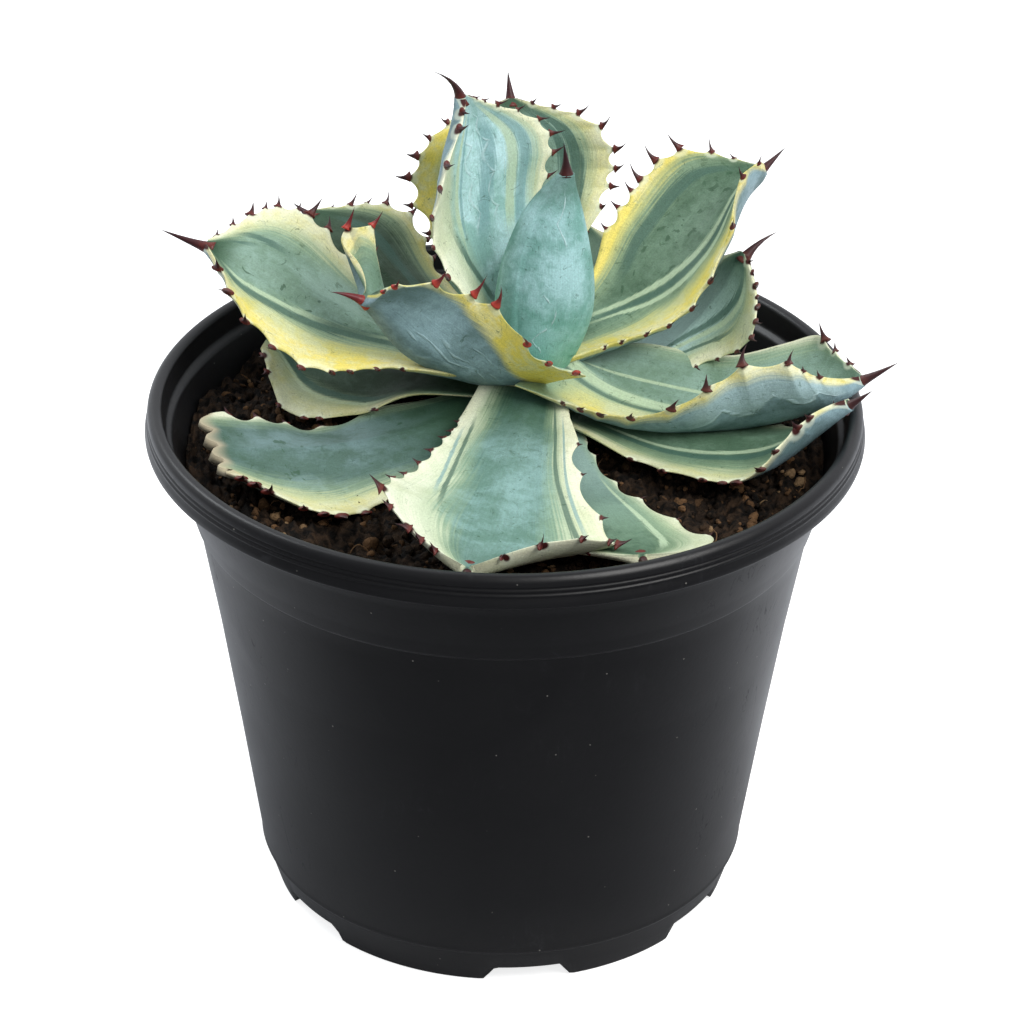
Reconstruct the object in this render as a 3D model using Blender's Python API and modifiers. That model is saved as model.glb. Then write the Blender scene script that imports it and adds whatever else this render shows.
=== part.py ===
"""Potted agave: a variegated, toothed agave in a round black nursery pot, at real size.

Metres, +Z up. The origin is on the pot's axis, on the plane of its feet, and -Y is the front.
Sizes below are in millimetres and are turned into metres where a mesh is made.
"""
import math

import bmesh
import bpy
import numpy as np

MM = 0.001
GAP = 0.3                      # clearance between pieces that rest against each other
MERGE = 0.00001                # merge distance for modifiers, in metres

# ---------------------------------------------------------------- driving dimensions
POT_HEIGHT = 113.2
LIP_RADIUS = 74.9              # widest point, the lower edge of the rolled lip
FOOT_RADIUS = 49.3
FLOOR_Z = 5.2                  # top of the pot's raised floor
FLOOR_THICKNESS = 1.2
FOOT_WIDTH = 2.7               # the ring the pot stands on
POT_SIDES = 48
# The pot's two faces as (radius, height): up the inner one, then down the outer one.
POT_INSIDE = ((48.0, FLOOR_Z), (50.9, 9.3), (64.1, 89.7), (66.5, 95.0), (69.2, 107.0),
              (70.6, 107.9), (71.2, POT_HEIGHT))
POT_OUTSIDE = ((73.2, POT_HEIGHT), (74.0, 112.3), (74.4, 110.4), (LIP_RADIUS, 108.4),
               (74.6, 107.6), (70.5, 107.0), (67.8, 95.2), (65.7, 90.5), (65.7, 89.2),
               (65.2, 88.8), (52.4, 10.1), (52.5, 9.2), (51.9, 8.6), (FOOT_RADIUS, 0.0))
NOTCH_TURNS = (-143, -83, -33, 27, 87, 147)
NOTCH_WIDTH = 19.0             # along the foot ring, at the ground
NOTCH_HEIGHT = 3.3
NOTCH_SLOPE = 2.6              # how far each end of a notch leans in
NOTCH_REACH = (42.0, 56.0)     # from inside the foot ring to outside it
DRAIN_RADIUS = 4.5
DRAIN_RING = 37.0
DRAIN_SIDES = 12

SOIL_Z = 100.9                 # mean level of the soil
SOIL_LUMP = 1.0                # how far crumbs stand above it
SOIL_WANDER = 1.1              # how far crumbs stray from their ring
SOIL_SIDES = 44
SOIL_RINGS = (0.08, 0.18, 0.28, 0.39, 0.51, 0.64, 0.8)     # from the wall in to the stem

CROWN = (8.0, 10.0)            # the plant's axis, a little off the pot's
# The stem steps in at each whorl of leaves: radius, top and bottom of each tier.
STEM_TIERS = ((4.4, 118.0, 114.4), (6.2, 114.0, 110.5), (8.0, 110.1, 106.5), (9.8, 106.1, 96.0))
STEM_FOOT_Z = 92.0
STEM_SIDES = 32

ROOT_THICKNESS = 3.4           # of a leaf along its midrib, where it leaves the stem
MARGIN_THICKNESS = 1.2
SPINE_RADIUS = 1.25
SPINE_WAIST = (0.45, 0.6)      # this far along its length, a spine is this much of its width
TOOTH_FIRST = 0.26             # where along a margin its teeth begin and end
TOOTH_LAST = 0.85
TOOTH_JITTER = 0.16            # how far a tooth strays, in spacings
TOOTH_HALF_BASE = 1.1
TOOTH_LENGTH = 2.3
TOOTH_LEAN = 0.15              # towards the leaf's tip
TOOTH_TIP = 0.2                # half-thickness at its point
SCALLOP = 1.6                  # how far the margin swells out under each tooth

# Each leaf at five places from its root to the base of its end spine.
# turn: where it points, in degrees anticlockwise from +X. reach, height: its midrib, out from the
# crown and up from the ground. left, right: half-widths, looking outwards. rise_left, rise_right:
# how steeply each half climbs away from the midrib, in degrees. cup: how far the two halves curl.
# sweep: how far each margin is drawn forward, most at two thirds of the length.
# blunt: half-width of an end that has withered instead of running out into a spine.
LEAVES = {
    "leaf_inner_left": dict(
        turn=145, reach=(6.6, 11.4, 16.5, 19, 22), height=(118.8, 129, 145, 160, 171),
        left=(1.5, 10, 16, 14), right=(2, 12, 16, 16), rise_left=(20, 20, 5, 20, 40),
        rise_right=(20, 26, 21, 20, 18), cup=(25, 10), spine=7.5, teeth=7),
    "leaf_inner_back": dict(
        turn=101, reach=(7.2, 19, 29, 34, 39), height=(114, 126, 140, 152, 159),
        left=(3, 15, 24, 21), right=(2, 6, 19, 19), rise_left=(20, 17, 12, 18, 18),
        rise_right=(22, 25, 22, 19, 10), cup=(9, 24), spine=5.5, teeth=8),
    "leaf_upper_right": dict(
        turn=41, reach=(5.4, 24, 39, 52, 61), height=(118, 121.5, 129.5, 139, 143),
        left=(2, 12, 19, 18), right=(3, 15, 18, 16), rise_left=(18, 20, 17, 22, 20),
        rise_right=(15, 14, 24, 52, 38), cup=(18, 24), spine=7, teeth=8),
    "leaf_small_left": dict(
        turn=-163, reach=(6.4, 15, 25, 34, 38), height=(118, 120.4, 127.3, 135, 137.5),
        left=(9, 15, 16, 11), right=(1, 6, 12, 16), rise_left=(30, 45, 59, 44, 27),
        rise_right=(10, 20, 41, 68, 60), cup=(16, 16), sweep=(0, 3), spine=5.5, teeth=6,
        thickness=2.6),
    "leaf_long_left": dict(
        turn=170, reach=(7.2, 28, 45, 60, 73), height=(114, 118.5, 126, 134, 136),
        left=(4, 16, 22, 17), right=(3, 14, 19, 18), rise_left=(0, 2, -10, -4, 18),
        rise_right=(5, -2, 1, 16, 20), cup=(-6, 12), spine=9.5, teeth=8),
    "leaf_mid_left": dict(
        turn=140, reach=(8.8, 28, 43, 56, 66), height=(110.1, 114.5, 121.5, 127.5, 130),
        left=(3, 8, 9, 9), right=(3, 13, 17, 17), rise_left=(0, -14, -16, -8, 0),
        rise_right=(3, -8, -9, 6, 10), cup=(5, 6), spine=4.5, teeth=7, thickness=2.6),
    "leaf_mid_right": dict(
        turn=25, reach=(7.2, 20, 32, 41, 46), height=(114, 115.8, 118.5, 124.5, 132.5),
        left=(3, 8, 10, 9), right=(3, 13, 17, 16), rise_left=(5, 0, 0, 5, 10),
        rise_right=(10, 16, 5, 2, -13), cup=(10, 14), spine=6.5, teeth=8),
    "leaf_long_right": dict(
        turn=-8, reach=(8.8, 23, 40, 57, 64.5), height=(110.1, 110.3, 110.3, 113.5, 117.3),
        left=(4, 14, 16, 16), right=(4, 17, 21, 16), rise_left=(5, 7, 8, 22, 23),
        rise_right=(15, 14, 42, 52, 38), cup=(10, 12), spine=6, teeth=9),
    "leaf_low_right": dict(
        turn=-21, reach=(10.8, 25, 40, 55, 66), height=(105.8, 106.3, 106.8, 111, 120.5),
        left=(4, 10, 10, 6), right=(4, 14, 19, 17), rise_left=(0, 0, -3, -8, 0),
        rise_right=(4, 0, -1, 6, 36), cup=(8, 17), spine=5.5, teeth=8),
    "leaf_low_front": dict(
        turn=-73, reach=(10.8, 25, 41, 56, 68), height=(105.1, 105, 105, 105, 107.5),
        left=(2.5, 3, 4, 12.5), right=(4, 8, 10, 12), rise_left=(0, 0, 0, 0, 5),
        rise_right=(0, 0, 0, 0, 5), cup=(3, 3), spine=4, teeth=7, thickness=2.4),
    "leaf_broad_front": dict(
        turn=-102, reach=(7.4, 23, 38, 55, 71), height=(114, 111.5, 109.8, 108.7, 108),
        left=(9, 11, 16, 25), right=(9, 13, 17.5, 21), rise_left=(-6, -5, -5, 1, 21),
        rise_right=(4, 0, 2, 17, 36), cup=(8, 6), spine=4, teeth=8, columns=6),
    "leaf_flat_left": dict(
        turn=-158, reach=(10.8, 28, 43, 57, 72), height=(105.2, 105.4, 106, 107, 110.5),
        left=(4, 18, 23, 24), right=(2.5, 10, 15, 16), rise_left=(1, -2, -4, -5, 1),
        rise_right=(0, 0, -3, -2, 15), cup=(6, 7), blunt=11, spine=3, teeth=8, thickness=2.8),
    "leaf_low_left": dict(
        turn=164, reach=(10.8, 25, 37, 49, 60), height=(105.7, 107.6, 108.8, 108.5, 109.5),
        left=(2, 8, 15, 16), right=(3, 12, 14, 13), rise_left=(5, 3, 0, -4, -2),
        rise_right=(5, 5, 5, 8, 10), cup=(4, 10), blunt=3, spine=3, teeth=6, thickness=2.8),
    "leaf_back_left": dict(
        turn=114, reach=(10.8, 24, 36, 47, 55), height=(105.6, 105.8, 106.5, 108, 110),
        left=(4, 11, 13, 12), right=(4, 11, 13, 12), rise_left=(0, 0, 3, 6, 10),
        rise_right=(0, 0, 3, 6, 10), cup=(6, 6), spine=4, teeth=6),
    "leaf_back": dict(
        turn=80, reach=(8.8, 22, 35, 46, 54), height=(110.1, 111, 114, 118, 122),
        left=(4, 11, 14, 13), right=(4, 11, 14, 13), rise_left=(0, 3, 6, 8, 10),
        rise_right=(0, 3, 6, 8, 10), cup=(6, 6), spine=4, teeth=6),
    "leaf_back_right": dict(
        turn=48, reach=(10.8, 22, 32, 42, 50), height=(105.6, 105.8, 106.5, 108, 110),
        left=(4, 11, 12, 11), right=(4, 11, 12, 11), rise_left=(0, 0, 3, 6, 10),
        rise_right=(0, 0, 3, 6, 10), cup=(6, 6), spine=4, teeth=6),
}

BUD_FOOT = (7.2, 9.6, 118.3)
BUD_HEIGHT = 41.5
BUD_HALF_WIDTHS = (4.4, 7.8, 9.9, 10.0, 8.2, 5.0, 1.3)     # evenly spaced from foot to spine
BUD_FLATNESS = 0.55            # depth over width
BUD_LEAN = (3.3, -0.6)         # how far its tip leans from its foot, X and Y
BUD_SPINE = 6.5
BUD_SPINE_LEAN = -0.8
BUD_SIDES = 14
BUD_LEVELS = 12


# ---------------------------------------------------------------- small helpers
def clear_scene():
    for thing in list(bpy.data.objects):
        bpy.data.objects.remove(thing, do_unlink=True)


def make_collection(name):
    collection = bpy.data.collections.new(name)
    bpy.context.scene.collection.children.link(collection)
    return collection


def make_material(name, color, roughness):
    material = bpy.data.materials.new(name)
    material.use_nodes = True
    shader = material.node_tree.nodes["Principled BSDF"]
    shader.inputs["Base Color"].default_value = (*color, 1.0)
    shader.inputs["Roughness"].default_value = roughness
    shader.inputs["Metallic"].default_value = 0.0
    return material


def add_object(name, vertices, faces, material, collection):
    """One named object from points in millimetres."""
    mesh = bpy.data.meshes.new(name)
    mesh.from_pydata([tuple(float(c) * MM for c in v) for v in vertices], [], faces)
    mesh.materials.append(material)
    mesh.validate()
    mesh.shade_smooth()
    thing = bpy.data.objects.new(name, mesh)
    collection.objects.link(thing)
    return thing


def apply_modifiers(thing):
    """Replace an object's mesh with what its modifiers make of it."""
    graph = bpy.context.evaluated_depsgraph_get()
    result = bpy.data.meshes.new_from_object(thing.evaluated_get(graph))
    thing.modifiers.clear()
    thing.data = result


def turned(name, profile, sides, material, collection):
    """Revolve (radius, height) points round +Z. They run down the outer side."""
    mesh = bpy.data.meshes.new(name)
    edges = [(i, i + 1) for i in range(len(profile) - 1)]
    mesh.from_pydata([(radius * MM, 0, z * MM) for radius, z in profile], edges, [])
    mesh.materials.append(material)
    thing = bpy.data.objects.new(name, mesh)
    collection.objects.link(thing)
    screw = thing.modifiers.new("turn", "SCREW")
    screw.axis = "Z"
    screw.steps = sides
    screw.render_steps = sides
    screw.use_merge_vertices = True
    screw.merge_threshold = MERGE
    screw.use_smooth_shade = True
    apply_modifiers(thing)
    return thing


def cut(thing, cutters):
    """Take every object of a collection out of one object."""
    boolean = thing.modifiers.new("cut", "BOOLEAN")
    boolean.operation = "DIFFERENCE"
    boolean.operand_type = "COLLECTION"
    boolean.collection = cutters
    boolean.solver = "EXACT"
    apply_modifiers(thing)


def along(values, s):
    """A smooth curve through evenly spaced values, read at fractions s of its length."""
    v = np.asarray(values, float)
    v = np.concatenate(([2 * v[0] - v[1]], v, [2 * v[-1] - v[-2]]))
    spans = len(v) - 3
    i = np.clip(np.floor(s * spans).astype(int), 0, spans - 1)
    t = s * spans - i
    a, b, c, d = v[i], v[i + 1], v[i + 2], v[i + 3]
    return 0.5 * (2 * b + (c - a) * t + (2 * a - 5 * b + 4 * c - d) * t**2
                  + (3 * b - a - 3 * c + d) * t**3)


# ---------------------------------------------------------------- leaves
def midrib(leaf, s):
    """Points of a leaf's midrib, and its three directions there: outwards, sideways, upwards."""
    turn = math.radians(leaf["turn"])
    outwards = np.array([math.cos(turn), math.sin(turn), 0.0])
    level = np.array([-math.sin(turn), math.cos(turn), 0.0])

    def points(q):
        ends = np.array([*CROWN, 0.0])
        return (ends + along(leaf["reach"], q)[..., None] * outwards
                + along(leaf["height"], q)[..., None] * np.array([0, 0, 1.0]))

    step = 0.001
    direction = points(np.clip(s + step, 0, 1)) - points(np.clip(s - step, 0, 1))
    direction /= np.linalg.norm(direction, axis=-1)[..., None]
    side = level - (direction @ level)[..., None] * direction
    side /= np.linalg.norm(side, axis=-1)[..., None]
    return points(s), direction, side, np.cross(direction, side)


def tooth_places(leaf, side, seed):
    """Fractions of the length at which one margin carries its teeth."""
    count = leaf["teeth"]
    rng = np.random.default_rng(seed + (0 if side == "left" else 500))
    pitch = (TOOTH_LAST - TOOTH_FIRST) / (count - 1)
    jitter = rng.uniform(-TOOTH_JITTER, TOOTH_JITTER, count)
    return TOOTH_FIRST + pitch * (np.arange(count) + jitter)


def scallop(s, teeth):
    """How far the margin swells at s: most at each tooth, least halfway between two."""
    before = np.clip(np.searchsorted(teeth, s) - 1, 0, len(teeth) - 2)
    u = np.clip((s - teeth[before]) / (teeth[before + 1] - teeth[before]), 0, 1)
    grown = np.clip((s - TOOTH_FIRST) / 0.15 + 1, 0, 1)
    return SCALLOP * (np.abs(2 * u - 1) ** 2 - 0.4) * grown


def half_blade(leaf, side, s, v, teeth):
    """Upper surface of one half at length fraction s and width fraction v, and its normal."""
    place, direction, across, up = midrib(leaf, s)
    sign = 1.0 if side == "left" else -1.0
    at_tip = leaf.get("blunt", SPINE_RADIUS)
    width = along((*leaf[side], at_tip), s)
    taper = np.clip((1 - s) / 0.08, 0, 1)
    width = width + scallop(s, teeth) * v**2 * taper
    rise = np.radians(along(leaf["rise_" + side], s))
    cup = math.radians(leaf["cup"][0 if side == "left" else 1]) + 1e-4
    start = rise - cup
    angle = start + 2 * cup * v
    sideways = width * (np.sin(angle) - np.sin(start)) / (2 * cup)
    climb = width * (np.cos(start) - np.cos(angle)) / (2 * cup)
    forward = leaf.get("sweep", (0, 0))[0 if side == "left" else 1]
    forward = forward * v**2 * 6.75 * s**2 * (1 - s) - v**2 * np.clip(1 - s / 0.3, 0, 1) ** 2
    point = (place + (sign * sideways)[..., None] * across + climb[..., None] * up
             + forward[..., None] * direction)
    normal = np.cos(angle)[..., None] * up - (sign * np.sin(angle))[..., None] * across
    outward = (sign * np.cos(angle))[..., None] * across + np.sin(angle)[..., None] * up
    return point, normal, outward, direction


def leaf_rows(leaf, seed):
    """Length fractions of the rows of points, for the left margin and the right one."""
    length = leaf["reach"][-1] - leaf["reach"][0] + abs(leaf["height"][-1] - leaf["height"][0]) / 2
    half = TOOTH_HALF_BASE / length
    rows = {}
    for side in ("left", "right"):
        teeth = tooth_places(leaf, side, seed)
        values, is_tooth = [0.0, 0.1], [False, False]
        for k, place in enumerate(teeth):
            values += [place - half, place, place + half]
            is_tooth += [False, True, False]
            if k + 1 < len(teeth):
                values.append((place + teeth[k + 1]) / 2)
                is_tooth.append(False)
        values.append(1.0)
        is_tooth.append(False)
        rows[side] = np.array(values)
    return rows["left"], rows["right"], np.array(is_tooth)


def make_leaf(name, leaf, seed, material, collection):
    """A blade with a scalloped, toothed margin that runs out into its end spine."""
    rng = np.random.default_rng(seed)
    left_rows, right_rows, is_tooth = leaf_rows(leaf, seed)
    columns = leaf.get("columns", 4)
    across = np.linspace(1, -1, columns + 1)               # +1 is the left margin
    teeth = {side: tooth_places(leaf, side, seed) for side in ("left", "right")}
    s = (left_rows[:, None] * (1 + across) + right_rows[:, None] * (1 - across)) / 2
    v = np.broadcast_to(np.abs(across), s.shape)
    left = half_blade(leaf, "left", s, v, teeth["left"])
    right = half_blade(leaf, "right", s, v, teeth["right"])
    is_left = (np.broadcast_to(across, s.shape) > 0)[..., None]
    upper, normal, outward, direction = (np.where(is_left, a, b) for a, b in zip(left, right))
    middle = columns // 2
    normal[:, middle] = midrib(leaf, s[:, middle])[3]
    root = leaf.get("thickness", ROOT_THICKNESS)
    middle_thickness = root + (2 * SPINE_RADIUS - root) * s
    thickness = MARGIN_THICKNESS + (middle_thickness - MARGIN_THICKNESS) * (1 - v**2)
    lower = upper - normal * thickness[..., None]
    for row in np.flatnonzero(is_tooth):
        for column in (0, columns):
            size = np.linalg.norm(upper[row, column] - upper[row, middle])
            length = TOOTH_LENGTH * rng.uniform(0.75, 1.25) * min(1, 0.3 + size / 12)
            lean = outward[row, column] + TOOTH_LEAN * direction[row, column]
            point = (upper[row, column] + lower[row, column]) / 2 + length * lean
            upper[row, column] = point + TOOTH_TIP * normal[row, column]
            lower[row, column] = point - TOOTH_TIP * normal[row, column]
    rings = [np.concatenate((upper[i], lower[i][::-1])) for i in range(len(upper))]
    centre = rings[-1].mean(axis=0)
    axis = direction[-1, middle]
    place, share = SPINE_WAIST
    rings.append(centre + leaf["spine"] * place * axis + share * (rings[-1] - centre))
    tip = centre + leaf["spine"] * axis
    return loft(name, rings, tip, material, collection)


def loft(name, rings, tip, material, collection):
    """Join closed rings of equal size into a solid that ends in one point."""
    size = len(rings[0])
    half = size // 2
    points = [p for ring in rings for p in ring] + [tip]
    faces = []
    for i in range(len(rings) - 1):
        for j in range(size):
            a, b = i * size + j, i * size + (j + 1) % size
            c, d = b + size, a + size
            if j < half:
                faces += [(a, d, c), (a, c, b)]
            else:
                faces += [(a, d, b), (d, c, b)]
    last = (len(rings) - 1) * size
    faces += [(last + j, len(points) - 1, last + (j + 1) % size) for j in range(size)]
    for j in range(half - 1):
        a, b, c, d = j, j + 1, size - 2 - j, size - 1 - j
        faces += [(a, b, c), (a, c, d)] if b != c else [(a, b, d)]
    thing = add_object(name, points, faces, material, collection)
    outside = bmesh.new()
    outside.from_mesh(thing.data)
    bmesh.ops.recalc_face_normals(outside, faces=outside.faces)
    outside.to_mesh(thing.data)
    outside.free()
    return thing


def make_bud(material, collection):
    """The heart of the rosette: leaves still rolled together into one flattened spindle."""
    levels = np.linspace(0, 1, BUD_LEVELS)
    widths = along(BUD_HALF_WIDTHS, levels)
    turn = 2 * math.pi * (np.arange(BUD_SIDES) + 0.5) / BUD_SIDES
    rings = []
    for level, width in zip(levels, widths):
        depth = max(width * BUD_FLATNESS, min(width, SPINE_RADIUS))
        centre = np.array(BUD_FOOT) + level * np.array([*BUD_LEAN, BUD_HEIGHT])
        ring = np.stack([width * np.cos(turn), depth * np.sin(turn), 0 * turn], axis=-1)
        rings.append(centre + ring)
    tip = rings[-1].mean(axis=0) + np.array([BUD_SPINE_LEAN, 0, BUD_SPINE])
    return loft("bud", rings, tip, material, collection)


# ---------------------------------------------------------------- stem, soil and pot
def make_stem(material, collection):
    """The short stem. Each whorl of leaves stands just off the tier below it."""
    profile = [(0.0, STEM_TIERS[0][1])]
    for radius, top, bottom in STEM_TIERS:
        profile += [(radius, top), (radius, bottom)]
    profile.append((0.0, STEM_FOOT_Z))
    stem = turned("stem", profile, STEM_SIDES, material, collection)
    for vertex in stem.data.vertices:
        vertex.co.x += CROWN[0] * MM
        vertex.co.y += CROWN[1] * MM
    return stem


def add_notch(number, turn, cutters):
    """A block across the foot ring, narrower at its top."""
    block = bmesh.new()
    bmesh.ops.create_cube(block, size=1.0)
    for vertex in block.verts:
        x, y, z = (c > 0 for c in vertex.co)
        half = NOTCH_WIDTH / 2 - (NOTCH_SLOPE if z else 0)
        height = NOTCH_HEIGHT if z else -NOTCH_HEIGHT
        vertex.co = (NOTCH_REACH[x] * MM, (half if y else -half) * MM, height * MM)
    notch = add_cutter("cut_notch_%d" % number, block, cutters)
    notch.rotation_euler.z = turn


def add_drain(number, turn, cutters):
    """A round hole through the floor."""
    rod = bmesh.new()
    bmesh.ops.create_cone(rod, cap_ends=True, segments=DRAIN_SIDES, radius1=DRAIN_RADIUS * MM,
                          radius2=DRAIN_RADIUS * MM, depth=8 * FLOOR_THICKNESS * MM)
    hole = add_cutter("cut_drain_%d" % number, rod, cutters)
    hole.location = (DRAIN_RING * MM * math.cos(turn), DRAIN_RING * MM * math.sin(turn),
                     FLOOR_Z * MM)


def add_cutter(name, shape, cutters):
    mesh = bpy.data.meshes.new(name)
    shape.to_mesh(mesh)
    shape.free()
    cutter = bpy.data.objects.new(name, mesh)
    cutter.hide_render = True
    cutter.display_type = "WIRE"
    cutters.objects.link(cutter)
    return cutter


def make_pot(material, collection, cutters):
    """One moulded shell: floor, tapered wall, flared collar and rolled lip, all in one profile."""
    under = FLOOR_Z - FLOOR_THICKNESS
    inside_foot = FOOT_RADIUS - FOOT_WIDTH
    profile = [(0.0, FLOOR_Z), *POT_INSIDE, *POT_OUTSIDE, (inside_foot, 0.0),
               (inside_foot - 0.4, under), (0.0, under)]
    pot = turned("pot", profile, POT_SIDES, material, collection)
    for number, turn in enumerate(NOTCH_TURNS):
        add_notch(number, math.radians(turn), cutters)
        add_drain(number, math.radians(turn), cutters)
    cut(pot, cutters)
    return pot


def soil_wall():
    """Where the soil meets the pot, as (radius, height) from the floor up to the soil's edge."""
    radii, heights = zip(*POT_INSIDE[:5])
    levels = [FLOOR_Z + GAP, *heights[1:4], SOIL_Z - SOIL_LUMP / 2]
    return [(float(np.interp(z, heights, radii)) - 2 * GAP, z) for z in levels]


def make_soil(material, collection):
    """The soil fills the pot. Its top is lumpy, with a plain round hole for the stem."""
    rng = np.random.default_rng(41)
    turn = 2 * math.pi * np.arange(SOIL_SIDES) / SOIL_SIDES
    around = np.stack([np.cos(turn), np.sin(turn)], axis=-1)
    wall = soil_wall()
    rings = [np.column_stack([r * around, np.full(SOIL_SIDES, z)]) for r, z in wall]
    edge = np.column_stack([wall[-1][0] * around, np.full(SOIL_SIDES, SOIL_Z)])
    hole = np.array(CROWN) + (STEM_TIERS[-1][0] + GAP) * around
    mouth = np.column_stack([hole, np.full(SOIL_SIDES, SOIL_Z)])
    for share in SOIL_RINGS:
        ring = edge + share * (mouth - edge)
        ring[:, :2] += rng.uniform(-SOIL_WANDER, SOIL_WANDER, (SOIL_SIDES, 2))
        ring[:, 2] += rng.uniform(-SOIL_LUMP, SOIL_LUMP, SOIL_SIDES)
        rings.append(ring)
    rings += [mouth, np.column_stack([hole, np.full(SOIL_SIDES, STEM_FOOT_Z - GAP)])]
    points = [p for ring in rings for p in ring]
    faces = []
    for i in range(len(rings) - 1):
        for j in range(SOIL_SIDES):
            a, b = i * SOIL_SIDES + j, i * SOIL_SIDES + (j + 1) % SOIL_SIDES
            faces += [(a, b, b + SOIL_SIDES), (a, b + SOIL_SIDES, a + SOIL_SIDES)]
    under, foot = len(points), len(points) + 1
    points += [(0, 0, wall[0][1]), (*CROWN, STEM_FOOT_Z - GAP)]
    last = (len(rings) - 1) * SOIL_SIDES
    for j in range(SOIL_SIDES):
        following = (j + 1) % SOIL_SIDES
        faces += [(under, following, j), (foot, last + j, last + following)]
    return add_object("soil", points, faces, material, collection)


# ---------------------------------------------------------------- the whole plant
def main():
    clear_scene()
    parts = make_collection("potted_agave")
    cutters = make_collection("cutters")
    leaf_green = make_material("leaf_green", (0.25, 0.42, 0.36), 0.5)
    bud_green = make_material("bud_green", (0.28, 0.50, 0.44), 0.5)
    stem_pale = make_material("stem_pale", (0.45, 0.48, 0.30), 0.6)
    soil_brown = make_material("soil_brown", (0.055, 0.035, 0.022), 0.95)
    pot_black = make_material("pot_black", (0.018, 0.018, 0.02), 0.38)

    make_pot(pot_black, parts, cutters)
    make_soil(soil_brown, parts)
    make_stem(stem_pale, parts)
    make_bud(bud_green, parts)
    for seed, (name, leaf) in enumerate(LEAVES.items(), start=1):
        make_leaf(name, leaf, seed, leaf_green, parts)


main()
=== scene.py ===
# %% [markdown]
# # A potted agave
# This lesson dresses a plain solid model of a small variegated agave. The solid model already has
# every size right: a round nursery pot, its soil, a short stem and a rosette of toothed leaves.
# Here each leaf is grown again with a fine skin, and painted with shader nodes.

import math

import bmesh
import bpy
import numpy as np
from mathutils import Matrix, Vector


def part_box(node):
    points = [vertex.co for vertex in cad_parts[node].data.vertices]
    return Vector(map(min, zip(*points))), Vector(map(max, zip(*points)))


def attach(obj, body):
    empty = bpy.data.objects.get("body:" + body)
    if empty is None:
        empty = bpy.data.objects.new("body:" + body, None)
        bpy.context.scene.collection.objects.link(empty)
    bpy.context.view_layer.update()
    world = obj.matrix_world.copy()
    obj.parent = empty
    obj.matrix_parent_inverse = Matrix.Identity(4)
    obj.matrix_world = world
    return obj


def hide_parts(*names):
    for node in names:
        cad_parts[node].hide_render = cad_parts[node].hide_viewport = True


MM = 0.001
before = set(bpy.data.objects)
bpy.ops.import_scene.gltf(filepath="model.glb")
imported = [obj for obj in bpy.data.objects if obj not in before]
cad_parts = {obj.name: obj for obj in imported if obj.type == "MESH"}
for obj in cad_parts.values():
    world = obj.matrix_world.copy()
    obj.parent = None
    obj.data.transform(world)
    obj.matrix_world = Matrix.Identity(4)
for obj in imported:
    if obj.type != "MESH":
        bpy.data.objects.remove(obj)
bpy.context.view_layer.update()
pot_low, pot_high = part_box("pot")
stem_low, stem_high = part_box("stem")
soil_low, soil_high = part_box("soil")
POT_HEIGHT = pot_high.z / MM
LIP_RADIUS = (pot_high.x - pot_low.x) / 2 / MM
CROWN = np.array([stem_low.x + stem_high.x, stem_low.y + stem_high.y, 0.0]) / 2 / MM
print("pot %.1f mm tall, lip radius %.1f mm, crown at %.1f, %.1f mm"
      % (POT_HEIGHT, LIP_RADIUS, CROWN[0], CROWN[1]))

# %% [markdown]
# ## Camera
# A product view of a plant is taken from well back with a long lens, so that near leaves don't
# swell. The camera looks down about thirty degrees, far enough to see the soil inside the rim.

# %% Camera
VIEW_ELEVATION = math.radians(29.82)
VIEW_ROLL = math.radians(0.66)
VIEW_DISTANCE = 0.8724
VIEW_CENTRE = Vector((0.0004, 0.0, (POT_HEIGHT - 27.7) * MM))

forward = Vector((0.0, math.cos(VIEW_ELEVATION), -math.sin(VIEW_ELEVATION)))
level_right = Vector((1.0, 0.0, 0.0))
level_up = level_right.cross(forward)
right = math.cos(VIEW_ROLL) * level_right + math.sin(VIEW_ROLL) * level_up
up = right.cross(forward)
camera = bpy.data.objects.new("camera", bpy.data.cameras.new("camera"))
camera.data.lens = 145.4
camera.data.sensor_width = 36.0
camera.data.clip_start = 0.05
camera.matrix_world = (Matrix.Translation(VIEW_CENTRE - VIEW_DISTANCE * forward)
                       @ Matrix((right, up, -forward)).transposed().to_4x4())
bpy.context.scene.collection.objects.link(camera)
bpy.context.scene.camera = camera
print("camera at", tuple(round(c, 3) for c in camera.location))

# %% [markdown]
# ## Building materials out of nodes
# A material here is a small network. These helpers add one node and return its output, so that a
# network reads like a sum. Colours are named in the usual 0 to 255 way and turned into the linear
# values that light needs.

# %% Node helpers
def srgb(red, green, blue):
    """A display colour as the linear colour a shader wants."""
    def linear(c):
        c = c / 255
        return c / 12.92 if c <= 0.04045 else ((c + 0.055) / 1.055) ** 2.4
    return (linear(red), linear(green), linear(blue), 1.0)


def add_node(tree, kind, values=None, **settings):
    """A node with its settings, and its inputs given as numbers or as other nodes' outputs."""
    node = tree.nodes.new(kind)
    for name, value in settings.items():
        setattr(node, name, value)
    for key, value in (values or {}).items():
        if isinstance(value, bpy.types.NodeSocket):
            tree.links.new(value, node.inputs[key])
        else:
            node.inputs[key].default_value = value
    return node


def calc(tree, operation, *values, clamp=False):
    """One step of arithmetic."""
    node = add_node(tree, "ShaderNodeMath", dict(enumerate(values)), operation=operation)
    node.use_clamp = clamp
    return node.outputs[0]


def times(tree, *values, clamp=False):
    return calc(tree, "MULTIPLY", *values, clamp=clamp)


def plus(tree, *values):
    return calc(tree, "ADD", *values)


def minus(tree, *values):
    return calc(tree, "SUBTRACT", *values)


def sway(tree, value, size):
    """A value between 0 and 1 made into a shift of up to half of size either way."""
    return times(tree, minus(tree, value, 0.5), size)


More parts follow.
